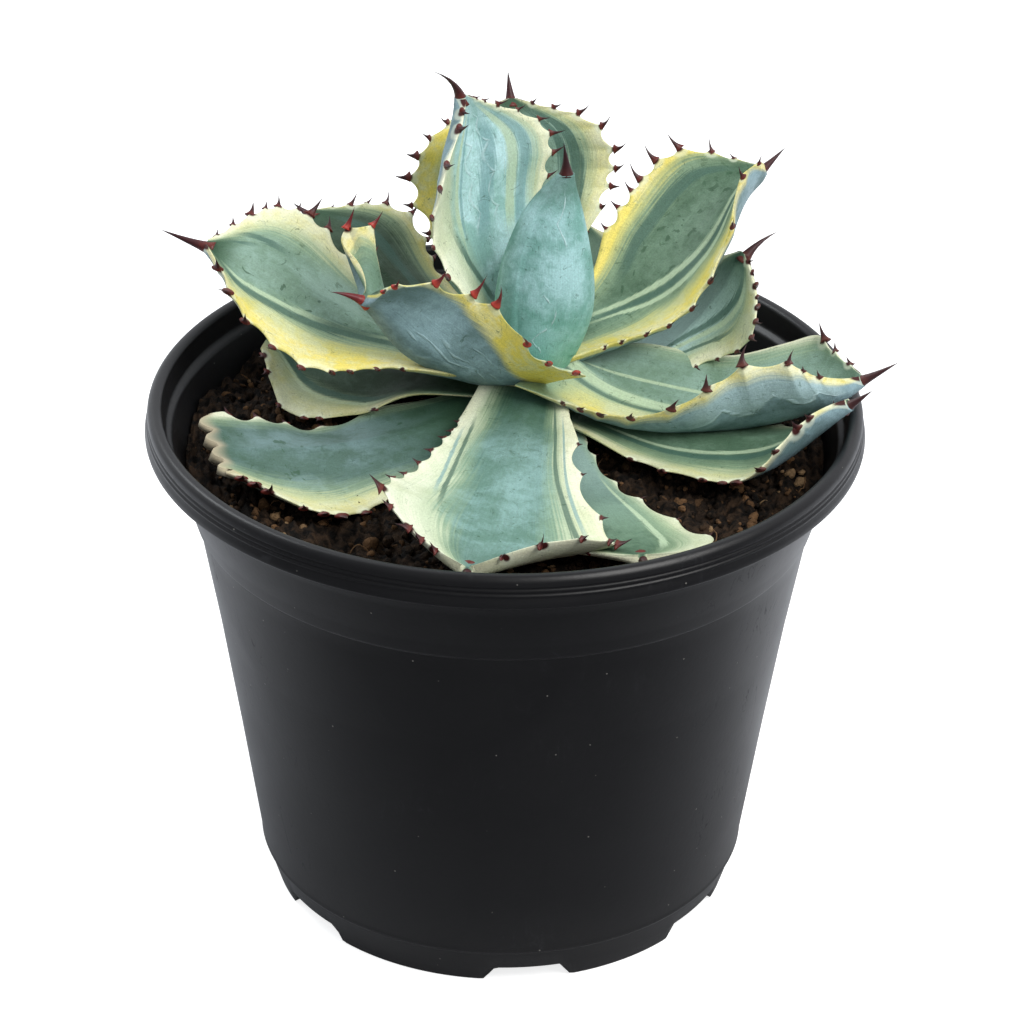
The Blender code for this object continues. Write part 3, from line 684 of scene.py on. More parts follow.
# %% Blade
def grow_leaf(name, leaf, thorns, seed, skin_paint):
    rng = np.random.default_rng(seed)
    teeth = {side: np.array([place for place, _ in thorns[side]]) for side in thorns}
    rows = 1 - (1 - np.linspace(0, 1, BLADE_ROWS)) ** 1.35
    share = np.sin(np.linspace(1, -1, BLADE_COLUMNS) * math.pi / 2)      # +1 is the left margin
    share[BLADE_COLUMNS // 2] = 0.0
    s, across = np.meshgrid(rows, share, indexing="ij")
    v = np.abs(across)
    halves = [half_blade(leaf, side, s, v, teeth[side]) for side in ("left", "right")]
    is_left = across > 0
    point, normal, outward, direction = (
        np.where(is_left[..., None], a, b) for a, b in zip(halves[0][:4], halves[1][:4]))
    width = np.where(is_left, halves[0][4], halves[1][4])
    painted = np.where(is_left, halves[0][5], -halves[1][5])
    middle = BLADE_COLUMNS // 2
    normal[:, middle] = midrib(leaf, rows)[3]
    root = leaf.get("thickness", ROOT_THICKNESS)
    broad = leaf.get("tooth_width", 1.0)
    spine_thickness = 2 * SPINE_RADIUS * 0.9
    deep = root + (spine_thickness - root) * s
    thickness = MARGIN_THICKNESS + (deep - MARGIN_THICKNESS) * (1 - v**2) ** 1.5
    rounding = np.sqrt(np.clip(1 - v**18, 0, 1))
    upper = point - normal * (thickness * (1 - rounding) * 0.5)[..., None]
    lower = upper - normal * (thickness * rounding)[..., None]

    skin = Skin()
    margin = (1 - v) * width
    dry = np.clip((s - leaf.get("dry_from", 2.0)) / 0.1, 0, 1)
    collar = np.zeros_like(s)
    for side, column in (("left", 0), ("right", -1)):
        for place, length in thorns[side]:
            foot = upper[np.abs(rows - place).argmin(), column]
            reach = np.linalg.norm(upper - foot, axis=-1)
            collar = np.maximum(collar, np.exp(-(reach / (0.4 * length * broad + 0.45)) ** 2))
    edge_horn = np.clip((s - 0.93) / 0.06, 0, 1) * np.clip(1 - margin / 0.9, 0, 1)
    collar = np.maximum(collar, edge_horn * (0 if "blunt" in leaf or "full" in leaf else 1))
    ring_points = np.concatenate([upper, lower[:, -2:0:-1]], axis=1)
    info = [np.concatenate([a, a[:, -2:0:-1]], axis=1) for a in (s, painted, margin, collar, dry)]
    beneath = np.concatenate([np.zeros_like(s), np.ones_like(s)[:, -2:0:-1]], axis=1)
    beneath[:, [0, BLADE_COLUMNS - 1]] = 0.5
    size = ring_points.shape[1]
    faces = ring_faces(0, size, BLADE_ROWS)
    for row in (0, BLADE_ROWS - 1):
        base = row * size
        faces += [(base + j, base + j + 1, base + (size - j - 1) % size, base + (size - j) % size)
                  for j in range(1, BLADE_COLUMNS - 2)]
        faces += [(base, base + 1, base + size - 1),
                  (base + BLADE_COLUMNS - 2, base + BLADE_COLUMNS - 1, base + BLADE_COLUMNS)]
    skin.add(ring_points.reshape(-1, 3), faces, 0,
             np.stack([a.ravel() for a in info[:3]], -1),
             np.stack([beneath.ravel(), info[3].ravel(), info[4].ravel()], -1))

    for side, column in (("left", 0), ("right", -1)):
        for place, length in thorns[side]:
            row = np.abs(rows - place).argmin()
            ahead, out, skyward = direction[row, column], outward[row, column], normal[row, column]
            axis = out + rng.uniform(-0.3, 0.25) * ahead + rng.uniform(-0.1, 0.35) * skyward
            axis /= np.linalg.norm(axis)
            bend = rng.uniform(0.1, 0.6) * ahead + rng.uniform(-0.05, 0.4) * skyward
            foot = upper[row, column] - 0.1 * skyward
            rings, tip = horn_rings(foot, axis, bend, ahead, skyward, length,
                                    ((0.19 * length + 0.4) * broad, 0.11 * length + 0.3), 0.6)
            skin.add_horn(rings, tip, 1)
    if "blunt" not in leaf:
        centre = (upper[-4, middle] + lower[-4, middle]) / 2
        ahead = direction[-1, middle]
        sideways = np.cross(normal[-1, middle], ahead)
        hook = leaf.get("hook", (0.0, 0.05))
        bend = hook[0] * sideways + hook[1] * normal[-1, middle]
        rings, tip = horn_rings(centre, ahead, bend, sideways, normal[-1, middle],
                                leaf["spine"] + 1.0, (1.8, 1.65), 1.6, 0.3)
        skin.add_horn(rings, tip, 1)
    piece = skin.build("fine_" + name, [skin_paint, HORN[leaf.get("horn", "maroon")]],
                       name)
    return piece


print("each blade has", BLADE_ROWS * (2 * BLADE_COLUMNS - 2), "points")

# %% [markdown]
# ## The rosette
# Sizes are in millimetres and degrees. turn is where a leaf points, anticlockwise from +X. The
# roots are wider than in the solid model and clasp one another round the stem.

# %% Leaf measures
LEAVES = {
    "leaf_inner_left": dict(
        turn=145, reach=(4, 12, 17, 19.5, 20.5), height=(116.5, 129.5, 145.5, 160, 171),
        left=(6.5, 13, 16.5, 16), right=(6.5, 12.5, 17.5, 18), rise_left=(23, 12, 5, 17, 37),
        rise_right=(20, 23, 21, 23, 24), cup=(20, 10), spine=8.5, hook=(1.1, 0.1)),
    "leaf_inner_back": dict(
        turn=101, reach=(4, 19, 29, 34, 39), height=(112.5, 126, 140, 152, 159),
        left=(5, 15, 23, 21), right=(5, 9, 19, 19), rise_left=(20, 17, 12, 18, 18),
        rise_right=(22, 25, 22, 19, 10), cup=(9, 24), spine=5.5, scallop=2.4),
    "leaf_upper_right": dict(
        turn=41, reach=(3, 24, 39, 52, 61), height=(118, 121.5, 129.5, 139, 143),
        left=(4, 12, 18, 17), right=(5, 14.5, 18, 16), rise_left=(18, 20, 17, 22, 20),
        rise_right=(8, 12, 24, 52, 38), cup=(18, 24), spine=7, scallop=2.0),
    "leaf_small_left": dict(
        turn=-163, reach=(2, 14, 27.5, 36, 38.5), height=(115.5, 116.5, 124, 135, 137),
        left=(18, 20.5, 18.5, 14), right=(3, 8, 11.5, 13), rise_left=(20, 46, 70, 53, 28),
        rise_right=(13, 20, 16, 40, 33), cup=(-8, 28), curl=(0, 4), sweep=(0, 11),
        full=(9, 12), clasp=(5, 1), spine=6, hook=(0.0, -0.3), horn="red"),
    "leaf_long_left": dict(
        turn=170, reach=(5, 29, 46, 61, 72), height=(113, 118.5, 126, 134, 137),
        left=(5, 15, 22, 18), right=(6, 13.5, 19, 18.5), rise_left=(8, 5, -12, -4, 10),
        rise_right=(3, -8, 1, 16, 12), cup=(14, 12), curl=(44, 0), spine=9.5, scallop=2.4,
        tooth_width=1.3),
    "leaf_mid_left": dict(
        turn=140, reach=(4, 28, 43, 56, 66), height=(110.5, 114.5, 121.5, 127.5, 130),
        left=(6, 9, 9, 9), right=(6, 13, 16, 16), rise_left=(0, -14, -16, -8, 0),
        rise_right=(3, -8, -9, 6, 10), cup=(5, 6), spine=4.5, scallop=2.0),
    "leaf_mid_right": dict(
        turn=25, reach=(9, 20, 32, 41, 46), height=(107, 109, 115.5, 124, 132.5),
        left=(3, 8, 10, 9), right=(2, 3, 8.5, 15.5), rise_left=(5, 0, 0, 5, 10),
        rise_right=(-10, -25, -26, 0, -13), cup=(10, 14), spine=6.5, hook=(0.0, -0.6),
        horn="brown", scallop=1.3),
    "leaf_long_right": dict(
        turn=-8, reach=(2, 17, 39, 57, 66), height=(121, 111.5, 108, 113, 118.5),
        left=(8.5, 15.5, 16.5, 17.5), right=(15, 15, 20, 19), rise_left=(-43, 14, 16, 22, 36),
        rise_right=(-31, 5, 47, 55, 31), cup=(10, 46), clasp=(1, 3), spine=8, horn="brown",
        scallop=1.9, tooth_width=1.3),
    "leaf_low_right": dict(
        turn=-21, reach=(5, 25, 40, 55, 66), height=(108, 106.3, 106.8, 111, 120.5),
        left=(6, 10, 10, 6), right=(8, 14, 19, 17), rise_left=(0, 0, -3, -8, 0),
        rise_right=(4, 0, -1, 6, 36), cup=(8, 17), spine=5.5, horn="brown", scallop=1.5, tooth_width=1.7),
    "leaf_low_front": dict(
        turn=-73, reach=(6, 24, 40.5, 55.5, 66.5), height=(106, 105, 105, 105, 107),
        left=(5, 4, 6, 14), right=(6, 8, 10, 12), rise_left=(0, 0, 3, 0, -6),
        rise_right=(0, 0, 0, 0, 5), cup=(3, 3), full=(21, 10), spine=3, thickness=2.6,
        scallop=1.0),
    "leaf_broad_front": dict(
        turn=-102, reach=(3, 19, 37, 56, 72.5), height=(112.5, 111.3, 109.8, 108.7, 108),
        left=(5, 10, 15.5, 27), right=(12, 14, 17, 21.5), rise_left=(-6, 3, -2, -2, 28),
        rise_right=(4, -2, 2, 20, 26), cup=(9, 6), curl=(28, 14), full=(23, 21), spine=3,
        scallop=1.5, tooth_width=1.7),
    "leaf_flat_left": dict(
        turn=-158, reach=(7, 27.5, 45, 57, 72), height=(109, 105.8, 105.5, 106.5, 109.5),
        left=(9, 18.5, 22.5, 26), right=(7, 12, 13, 14), rise_left=(1, -4, -4, -5, 1),
        rise_right=(6, -3, -9, -2, 15), cup=(9, 7), curl=(20, 0), blunt=11,
        thickness=3, ragged=3.0, dry_from=0.93, scallop=1.5, tooth_width=1.7),
    "leaf_low_left": dict(
        turn=164, reach=(6, 24, 37.5, 50, 61.5), height=(109, 109, 108, 108, 112),
        left=(4.5, 10, 14.5, 17), right=(5, 12, 14, 13), rise_left=(8, 5, -9, -13, -10),
        rise_right=(5, 5, 5, 8, 10), cup=(4, 10), blunt=3, thickness=3, scallop=1.2,
        tooth_width=1.4),
    "leaf_back_left": dict(
        turn=114, reach=(5, 24, 36, 47, 55), height=(107, 105.8, 106.5, 108, 110),
        left=(6, 11, 13, 12), right=(6, 11, 13, 12), rise_left=(0, 0, 3, 6, 10),
        rise_right=(0, 0, 3, 6, 10), cup=(6, 6), spine=4),
    "leaf_back": dict(
        turn=80, reach=(4, 22, 35, 46, 54), height=(110.1, 111, 114, 118, 122),
        left=(6, 11, 14, 13), right=(6, 11, 14, 13), rise_left=(0, 3, 6, 8, 10),
        rise_right=(0, 3, 6, 8, 10), cup=(6, 6), spine=4),
    "leaf_back_right": dict(
        turn=48, reach=(5, 22, 32, 42, 50), height=(107, 105.8, 106.5, 108, 110),
        left=(6, 11, 12, 11), right=(6, 11, 12, 11), rise_left=(0, 0, 3, 6, 10),
        rise_right=(0, 0, 3, 6, 10), cup=(6, 6), spine=4),
}
print(len(LEAVES), "leaves")

# %% [markdown]
# Teeth are uneven on a real agave: a few large ones, with small ones between. Each is given as its
# place along the margin and its length in millimetres, root to tip, left margin then right. Leaves
# that are seen less take an even row.

# %% Teeth along the margins
EVEN_ROW = tuple((0.26 + 0.085 * k, 2.2 + 0.4 * (k % 2)) for k in range(8))
FEW_SMALL = ((0.35, 1.0), (0.5, 1.1), (0.65, 1.0), (0.78, 1.2), (0.9, 1.6))
TEETH = {
    "leaf_inner_left": (
        ((0.27, 1.4), (0.38, 2.8), (0.48, 1.6), (0.59, 2.2), (0.7, 2.6), (0.79, 3.8),
         (0.91, 4.0), (0.96, 2.4)),
        ((0.36, 1.8), (0.45, 2.0), (0.54, 2.2), (0.63, 2.6), (0.71, 2.8), (0.78, 2.2),
         (0.86, 1.6), (0.92, 2.4), (0.955, 1.2), (0.98, 1.0))),
    "leaf_inner_back": (
        ((0.4, 2.0), (0.5, 2.4), (0.62, 4.0), (0.71, 3.8), (0.77, 2.2), (0.84, 2.4)),
        ((0.44, 2.2), (0.52, 2.6), (0.6, 2.8), (0.68, 3.4), (0.77, 3.2), (0.85, 3.0),
         (0.91, 2.0), (0.96, 1.8))),
    "leaf_upper_right": (
        ((0.42, 1.8), (0.5, 2.2), (0.58, 2.4), (0.63, 3.8), (0.71, 4.0), (0.79, 4.2),
         (0.88, 2.8), (0.94, 1.6)),
        ((0.08, 1.0), (0.12, 1.2), (0.18, 1.4), (0.23, 1.8), (0.32, 2.0), (0.42, 2.6),
         (0.6, 2.4), (0.74, 2.4), (0.86, 1.6))),
    "leaf_small_left": (
        ((0.02, 3.2), (0.1, 2.8), (0.2, 3.2), (0.41, 4.4), (0.58, 4.2), (0.74, 4.2),
         (0.87, 2.4), (0.93, 1.4)),
        ((0.6, 1.4), (0.7, 3.4), (0.85, 4.4))),
    "leaf_long_left": (
        ((0.23, 1.0), (0.29, 1.2), (0.35, 1.4), (0.4, 1.8), (0.48, 2.4), (0.58, 2.2),
         (0.69, 3.0), (0.8, 3.6), (0.89, 3.4)),
        ((0.42, 2.0), (0.5, 2.4), (0.6, 2.6), (0.67, 3.8), (0.71, 1.5), (0.77, 2.2),
         (0.81, 1.4), (0.86, 2.8), (0.92, 1.6), (0.97, 1.2))),
    "leaf_mid_left": (
        ((0.4, 2.0), (0.5, 2.0), (0.6, 2.0), (0.7, 2.0), (0.8, 2.0)),
        ((0.44, 2.0), (0.52, 2.2), (0.58, 2.6), (0.69, 2.6), (0.79, 3.2), (0.85, 1.5),
         (0.9, 3.2), (0.95, 1.2))),
    "leaf_mid_right": (
        ((0.5, 1.6), (0.6, 1.6), (0.7, 2.0), (0.8, 2.0), (0.9, 2.0)),
        ((0.46, 1.4), (0.54, 1.6), (0.61, 1.8), (0.69, 2.6), (0.76, 2.4), (0.82, 2.4),
         (0.86, 1.2), (0.9, 3.0), (0.94, 1.4), (0.98, 2.2))),
    "leaf_long_right": (
        ((0.83, 3.4), (0.9, 1.8), (0.96, 1.8)),
        ((0.12, 1.2), (0.16, 1.5), (0.21, 1.8), (0.28, 2.2), (0.37, 2.8), (0.45, 3.2),
         (0.6, 3.8), (0.75, 2.4), (0.82, 0.8), (0.88, 1.4))),
    "leaf_low_right": (
        ((0.5, 1.2), (0.65, 1.2), (0.8, 1.4), (0.9, 1.6)),
        ((0.25, 1.2), (0.37, 1.6), (0.53, 1.4), (0.6, 1.6), (0.64, 2.6), (0.73, 2.0),
         (0.79, 1.4), (0.87, 2.6), (0.91, 1.6))),
    "leaf_low_front": (
        ((0.15, 0.9), (0.22, 1.0), (0.4, 0.8), (0.54, 1.2), (0.68, 1.0), (0.82, 1.4)),
        FEW_SMALL),
    "leaf_broad_front": (
        ((0.33, 1.0), (0.47, 1.0), (0.61, 1.6), (0.76, 3.6), (0.82, 2.0), (0.89, 2.2),
         (0.95, 2.6), (0.99, 1.4)),
        ((0.25, 1.0), (0.3, 1.2), (0.36, 1.5), (0.44, 1.6), (0.52, 1.6), (0.6, 1.4),
         (0.67, 1.8), (0.82, 3.8), (0.9, 2.2), (0.95, 3.0), (0.975, 2.4), (0.99, 2.2))),
    "leaf_flat_left": (
        ((0.35, 1.6), (0.45, 2.2), (0.56, 2.2), (0.69, 3.0), (0.76, 2.4), (0.82, 1.8),
         (0.91, 2.8), (0.94, 3.2), (0.97, 2.8)),
        FEW_SMALL),
    "leaf_low_left": (
        ((0.42, 1.3), (0.63, 1.5), (0.69, 1.6), (0.8, 1.2), (0.92, 1.6), (0.97, 2.0)),
        ((0.45, 1.2), (0.6, 1.4), (0.75, 1.6), (0.9, 1.6))),
}

# %% [markdown]
# Each leaf has its own pattern. edges says where the cream begins on the left and on the right
# half, as a share of the half-width, at the root, the middle and the tip, and yellow is how
# strongly each side is coloured. A streak bows along the leaf: it is given by its place at root,
# middle and tip, its width, where it starts and stops, and its tone, pale, mid or dark. An imprint
# is its place, slant, number of arcs, their depth, where it starts and stops, and whether it is a
# line or the edge of a patch of bloom, and imprint is how strongly they show. under_edge is where
# the underside's cream begins. cream is how solid the cream is and cream_from how far along it
# starts, soft and wander are how blurred and how wavy its edge is, and rubs, root and tip are the
# rubbed spots, the tint at the root and how green the tip is. Where the root tint is the dark rub
# green it is painted shade, darkening the roots where the leaves crowd and shade one another;
# where it is BLOOM it is the pale wax bloom of the root. flesh names the green of the leaf, and
# the dark and slate greens are painted shade: darker copies of it for leaves low in the rosette.

# %% Leaf patterns
PATTERNS = {
    "leaf_inner_left": dict(
        edges=((0.35, 0.42, 0.6), (1.0, 0.84, 0.74)), yellow=(0.1, 0.18), flesh="pale", rubs=0.0,
        root=(RUB_AND_SHADE_GREEN, 0.55, 0.42), tip=0.3,
        streaks=(((0.08, 0.33, 0.5), 0.05, 0.18, 0.5, "dark"),
                 ((0.34, 0.28, -0.05), 0.035, 0.42, 0.96, "pale"),
                 ((0.28, 0.2, -0.12), 0.022, 0.42, 0.94, "mid"),
                 ((-0.44, -0.54, -0.5), 0.07, 0.4, 0.98, "pale"),
                 ((-0.57, -0.68, -0.62), 0.07, 0.36, 0.93, "mid"),
                 ((0.0, -0.2, -0.3), 0.1, 0.4, 0.9, "mid")),
        imprints=((-0.04, 0.1, 8, 0.12, 0.42, 0.95, "line"),
                  (-0.32, 0.15, 8, 0.12, 0.45, 0.92, "line"))),
    "leaf_inner_back": dict(
        edges=((0.6, 0.6, 0.8), (0.8, 0.74, 0.66)), yellow=(1.0, 0.45), flesh="grey", rubs=0.4,
        tip=0.95, streaks=(((-0.68, -0.62, -0.5), 0.07, 0.3, 0.97, "dark"),
                           ((-0.5, -0.48, -0.36), 0.05, 0.35, 0.95, "dark"))),
    "leaf_upper_right": dict(
        edges=((0.9, 0.78, 0.97), (0.3, 0.56, 0.86)), yellow=(1.6, 1.1), flesh="deep",
        rubs=1.0, soft=0.12, root=(RUB_AND_SHADE_GREEN, 0.0, 0.3),
        streaks=(((0.5, -0.2, 0.0), 0.05, 0.12, 0.86, "pale"),
                 ((0.36, -0.3, -0.12), 0.05, 0.12, 0.84, "dark"),
                 ((0.26, -0.4, -0.22), 0.04, 0.12, 0.8, "pale"),
                 ((0.55, 0.6, 0.45), 0.08, 0.3, 0.9, "dark"))),
    "leaf_small_left": dict(
        edges=((1.0, 0.92, 0.86), (0.9, 0.86, 0.74)), yellow=(1.4, 0.9), flesh="grey", rubs=0.1,
        under_edge=(0.15, 0.8, 1.0), root=(BLOOM, 0.7, 0.5), imprint=0.26,
        imprints=((0.02, 0.2, 4, 0.1, 0.3, 0.62, "line"),
                  (0.14, 0.3, 5, 0.08, 0.22, 0.6, "line"),
                  (0.28, 0.35, 5, 0.08, 0.12, 0.5, "line"),
                  (0.42, 0.3, 4, 0.07, 0.06, 0.4, "line"))),
    "leaf_long_left": dict(
        edges=((0.55, 0.42, 0.86), (1.1, 0.74, 0.46)), yellow=(1.0, 0.4), flesh="grey",
        rubs=0.6, root=(RUB_AND_SHADE_GREEN, 0.2, 0.3), tip=0.95,
        streaks=(((0.1, 0.3, 0.46), 0.03, 0.22, 0.9, "pale"),
                 ((0.18, 0.38, 0.56), 0.05, 0.22, 0.92, "dark"),
                 ((0.14, 0.26, 0.36), 0.08, 0.28, 0.56, "dark"),
                 ((-0.34, -0.42, -0.58), 0.05, 0.66, 0.9, "dark"),
                 ((-0.26, -0.28, -0.38), 0.04, 0.78, 0.94, "dark"))),
    "leaf_mid_left": dict(
        edges=((0.97, 0.93, 0.88), (0.97, 0.8, 0.74)), yellow=(0.9, 0.8), flesh="dark",
        rubs=0.3, cream=0.66, tip=0.8,
        streaks=(((-0.4, -0.36, -0.3), 0.08, 0.3, 0.9, "dark"),)),
    "leaf_mid_right": dict(
        edges=((1.0, 0.95, 0.9), (0.7, 0.55, 0.6)), yellow=(0.2, 0.4), flesh="deep", rubs=0.4,
        cream=0.85,
        root=(BLOOM, 0.95, 1.15),
        streaks=(((0.32, -0.14, -0.4), 0.06, 0.2, 0.92, "dark"),
                 ((0.2, -0.28, -0.5), 0.05, 0.2, 0.9, "pale"),
                 ((0.05, -0.4, -0.6), 0.04, 0.2, 0.7, "dark"))),
    "leaf_long_right": dict(
        edges=((1.0, 0.94, 0.86), (0.36, 0.34, 0.66)), yellow=(0.1, 0.8), flesh="grey",
        rubs=0.35, cream_from=0.06, under_edge=(0.9, 0.88, 0.9), root=(RUB_AND_SHADE_GREEN, 0.2, 0.2),
        streaks=(((-0.08, -0.12, -0.1), 0.07, 0.0, 0.5, "pale"),
                 ((-0.2, -0.24, -0.22), 0.03, 0.0, 0.45, "dark"),
                 ((0.22, 0.3, 0.3), 0.03, 0.05, 0.6, "pale")),
        imprints=((-0.66, -0.1, 6, 0.14, 0.4, 0.95, "bloom"),)),
    "leaf_low_right": dict(
        edges=((1.0, 0.88, 0.6), (0.84, 0.68, 0.5)), yellow=(0.1, 0.5), flesh="deep", rubs=0.25,
        cream=0.65,
        streaks=(((-0.5, -0.42, -0.15), 0.05, 0.12, 0.85, "dark"),
                 ((-0.4, -0.32, -0.05), 0.03, 0.12, 0.85, "pale"))),
    "leaf_low_front": dict(
        edges=((0.96, 0.86, 0.5), (0.9, 0.86, 0.8)), yellow=(0.2, 0.1), flesh="deep", rubs=0.3,
        cream=0.55, under_edge=(0.9, 0.8, 0.5),
        root=(BLOOM, 0.55, 0.75), soft=0.14,
        streaks=(((0.6, 0.5, 0.35), 0.05, 0.35, 0.95, "pale"),)),
    "leaf_broad_front": dict(
        edges=((0.56, 0.66, 0.5), (0.72, 0.58, 0.28)), yellow=(0.15, 0.08), flesh="blue",
        rubs=0.4, root=(RUB_AND_SHADE_GREEN, 0.85, 0.42), wander=0.26, cream=0.88,
        under_edge=(0.9, 0.8, 0.4),
        streaks=(((0.83, 0.81, 0.8), 0.02, 0.18, 0.72, "mid"),
                 ((0.62, 0.68, 0.72), 0.03, 0.1, 0.8, "dark"),
                 ((-0.78, -0.64, -0.46), 0.025, 0.22, 0.74, "dark"),
                 ((-0.87, -0.74, -0.58), 0.02, 0.28, 0.68, "mid"))),
    "leaf_flat_left": dict(
        edges=((0.92, 0.7, 0.52), (1.0, 0.96, 0.86)), yellow=(0.55, 0.1), flesh="shaded_slate",
        rubs=0.5, root=(RUB_AND_SHADE_GREEN, 0.95, 0.5), soft=0.1, cream=0.8),
    "leaf_low_left": dict(
        edges=((1.25, 0.76, 0.15), (1.0, 0.95, 0.9)), yellow=(0.5, 0.3), flesh="dark", rubs=0.2,
        cream=0.7,
        streaks=(((0.88, 0.6, 0.16), 0.04, 0.35, 0.96, "pale"),
                 ((0.78, 0.48, 0.06), 0.06, 0.35, 0.96, "dark"))),
    "leaf_back_left": dict(edges=((0.7,) * 3, (0.65,) * 3), yellow=(0.6, 0.5), flesh="deep"),
    "leaf_back": dict(edges=((0.65,) * 3, (0.7,) * 3), yellow=(0.5, 0.6), flesh="deep"),
    "leaf_back_right": dict(edges=((0.7,) * 3, (0.7,) * 3), yellow=(0.5, 0.5), flesh="deep"),
}
for order, (name, leaf) in enumerate(LEAVES.items(), start=1):
    thorns = dict(zip(("left", "right"), TEETH.get(name, (EVEN_ROW, EVEN_ROW))))
    grow_leaf(name, leaf, thorns, order, paint_leaf(name, PATTERNS[name]))
    print(name, "grown with", sum(len(row) for row in thorns.values()), "teeth")

# %% [markdown]
# ## The heart of the rosette
# The youngest leaves are still rolled round each other into a smooth spindle with one spine. Its
# cross-section is a flat spiral, so that the outer leaf's edge shows as a fine step.

# %% Bud
BUD_FOOT = np.array([7.2, 9.6, 112.5])
BUD_HEIGHT = 47.5
BUD_HALF_WIDTHS = (4.2, 8.0, 10.1, 9.9, 8.3, 5.8, 1.75)
BUD_FLATNESS = 0.66
BUD_LEAN = np.array([2.2, -0.6, 0.0])
BUD_HOOK = 2.5
BUD_SPINE = 6.5
BUD_ROWS = 140
BUD_SIDES = 120
SEAM_TURN = 0.35


def grow_bud():
    levels = np.linspace(0, 1, BUD_ROWS)
    width = np.maximum(along(BUD_HALF_WIDTHS, levels), 0.9)
    turn = 2 * math.pi * np.arange(BUD_SIDES) / BUD_SIDES
    spiral = 1 + 0.07 * ((turn / (2 * math.pi) + SEAM_TURN) % 1 - 0.5)
    flat = np.maximum(width * BUD_FLATNESS, np.minimum(width, SPINE_RADIUS))
    centre = BUD_FOOT + levels[:, None] * (BUD_LEAN + np.array([0, 0, BUD_HEIGHT]))
    centre = centre + levels[:, None] ** 8 * np.array([BUD_HOOK, 0, 0])
    points = centre[:, None, :] + np.stack([
        np.outer(width, np.cos(turn) * spiral), np.outer(flat, np.sin(turn) * spiral),
        np.zeros((BUD_ROWS, BUD_SIDES))], -1)
    faces = ring_faces(0, BUD_SIDES, BUD_ROWS)
    faces += [tuple(range(BUD_SIDES))[::-1],
              tuple((BUD_ROWS - 1) * BUD_SIDES + j for j in range(BUD_SIDES))]
    s = np.repeat(levels, BUD_SIDES)
    across = np.tile(np.cos(turn) * 0.8, BUD_ROWS)
    skin = Skin()
    skin.add(points.reshape(-1, 3), faces, 0, np.stack([s, across, 0 * s + 9], -1), (0, 0, 0))
    axis = BUD_LEAN * 0.3 + np.array([-0.6, 0, BUD_HEIGHT])
    axis /= np.linalg.norm(axis)
    rings, tip = horn_rings(centre[-1], axis, np.array([-0.1, 0, 0]), np.array([1.0, 0, 0]),
                            np.array([0, 1.0, 0]), BUD_SPINE + 0.5, (1.65, 1.5), 0.3, 0.35)
    skin.add_horn(rings, tip, 1)
    look = dict(edges=((1.5,) * 3, (1.5,) * 3), yellow=(0, 0), flesh="young", rubs=0.1,
                root=(srgb(96, 168, 132), 0.5, 0.5), tip=0.6, imprint=0.8,
                imprints=((0.2, -0.4, 5, 0.24, 0.68, 0.95, "line"),
                          (-0.1, 0.5, 4, 0.3, 0.15, 0.5, "line")))
    return skin.build("fine_bud", [paint_leaf("bud", look), HORN["dark"]], "bud")


bud = grow_bud()
print("bud tip at %.1f mm" % (max(v.co.z for v in bud.data.vertices) / MM))

# %% [markdown]
# ## Stem
# Between the leaf roots the stem shows here and there: green, thick, ringed where old leaves were.
# A turned profile with a wavy radius is enough, because most of it is in shadow.

# %% Stem
def turned(name, profile, sides):
    """A closed body turned round +Z from (radius, height) points, both ends on the axis."""
    turn = 2 * math.pi * np.arange(sides) / sides
    inner = profile[1:-1]
    points = [(0, 0, profile[0][1])]
    for radius, z in inner:
        points += [(radius * math.cos(t), radius * math.sin(t), z) for t in turn]
    points.append((0, 0, profile[-1][1]))
    faces = [(0, 1 + j, 1 + (j + 1) % sides) for j in range(sides)]
    faces += ring_faces(1, sides, len(inner))
    last = 1 + (len(inner) - 1) * sides
    faces += [(last + (j + 1) % sides, last + j, len(points) - 1) for j in range(sides)]
    mesh = bpy.data.meshes.new(name)
    mesh.from_pydata([tuple(c * MM for c in p) for p in points], [], faces)
    mesh.shade_smooth()
    turn_outwards(mesh)
    return new_object(name, mesh)


def make_stem():
    heights = np.linspace(111.5, 96, 60)
    radii = np.interp(heights, (96, 104, 108, 111.5), (10.0, 9.6, 8.0, 5.0))
    radii = radii + 0.35 * np.sin(heights * 2.4)
    stem = turned("fine_stem", [(0, 112.0), *zip(radii, heights), (0, 95.5)], 64)
    for vertex in stem.data.vertices:
        vertex.co += Vector(CROWN * MM)
    material, tree, shader = new_material("stem_skin")
    spot = in_millimetres(tree)
    color = blend(tree, noise(tree, spot, 0.6, 3.0), srgb(112, 132, 96), srgb(78, 92, 62))
    tree.links.new(color, shader["Base Color"])
    shader["Roughness"].default_value = 0.7
    add_bump(tree, shader, noise(tree, spot, 1.6, 3.0), 0.6, 0.0004)
    stem.data.materials.append(material)
    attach(stem, "root")
    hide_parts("stem")
    return stem


stem = make_stem()
print("stem", len(stem.data.vertices), "points")

# %% [markdown]
# ## Pot
# A nursery pot is one thin moulding of black polypropylene. Its section is drawn once, every
# corner is softened, and the section is turned round the axis. Then the foot ring is raised in
# short stretches, so that water can run out, and holes are cut in the floor.

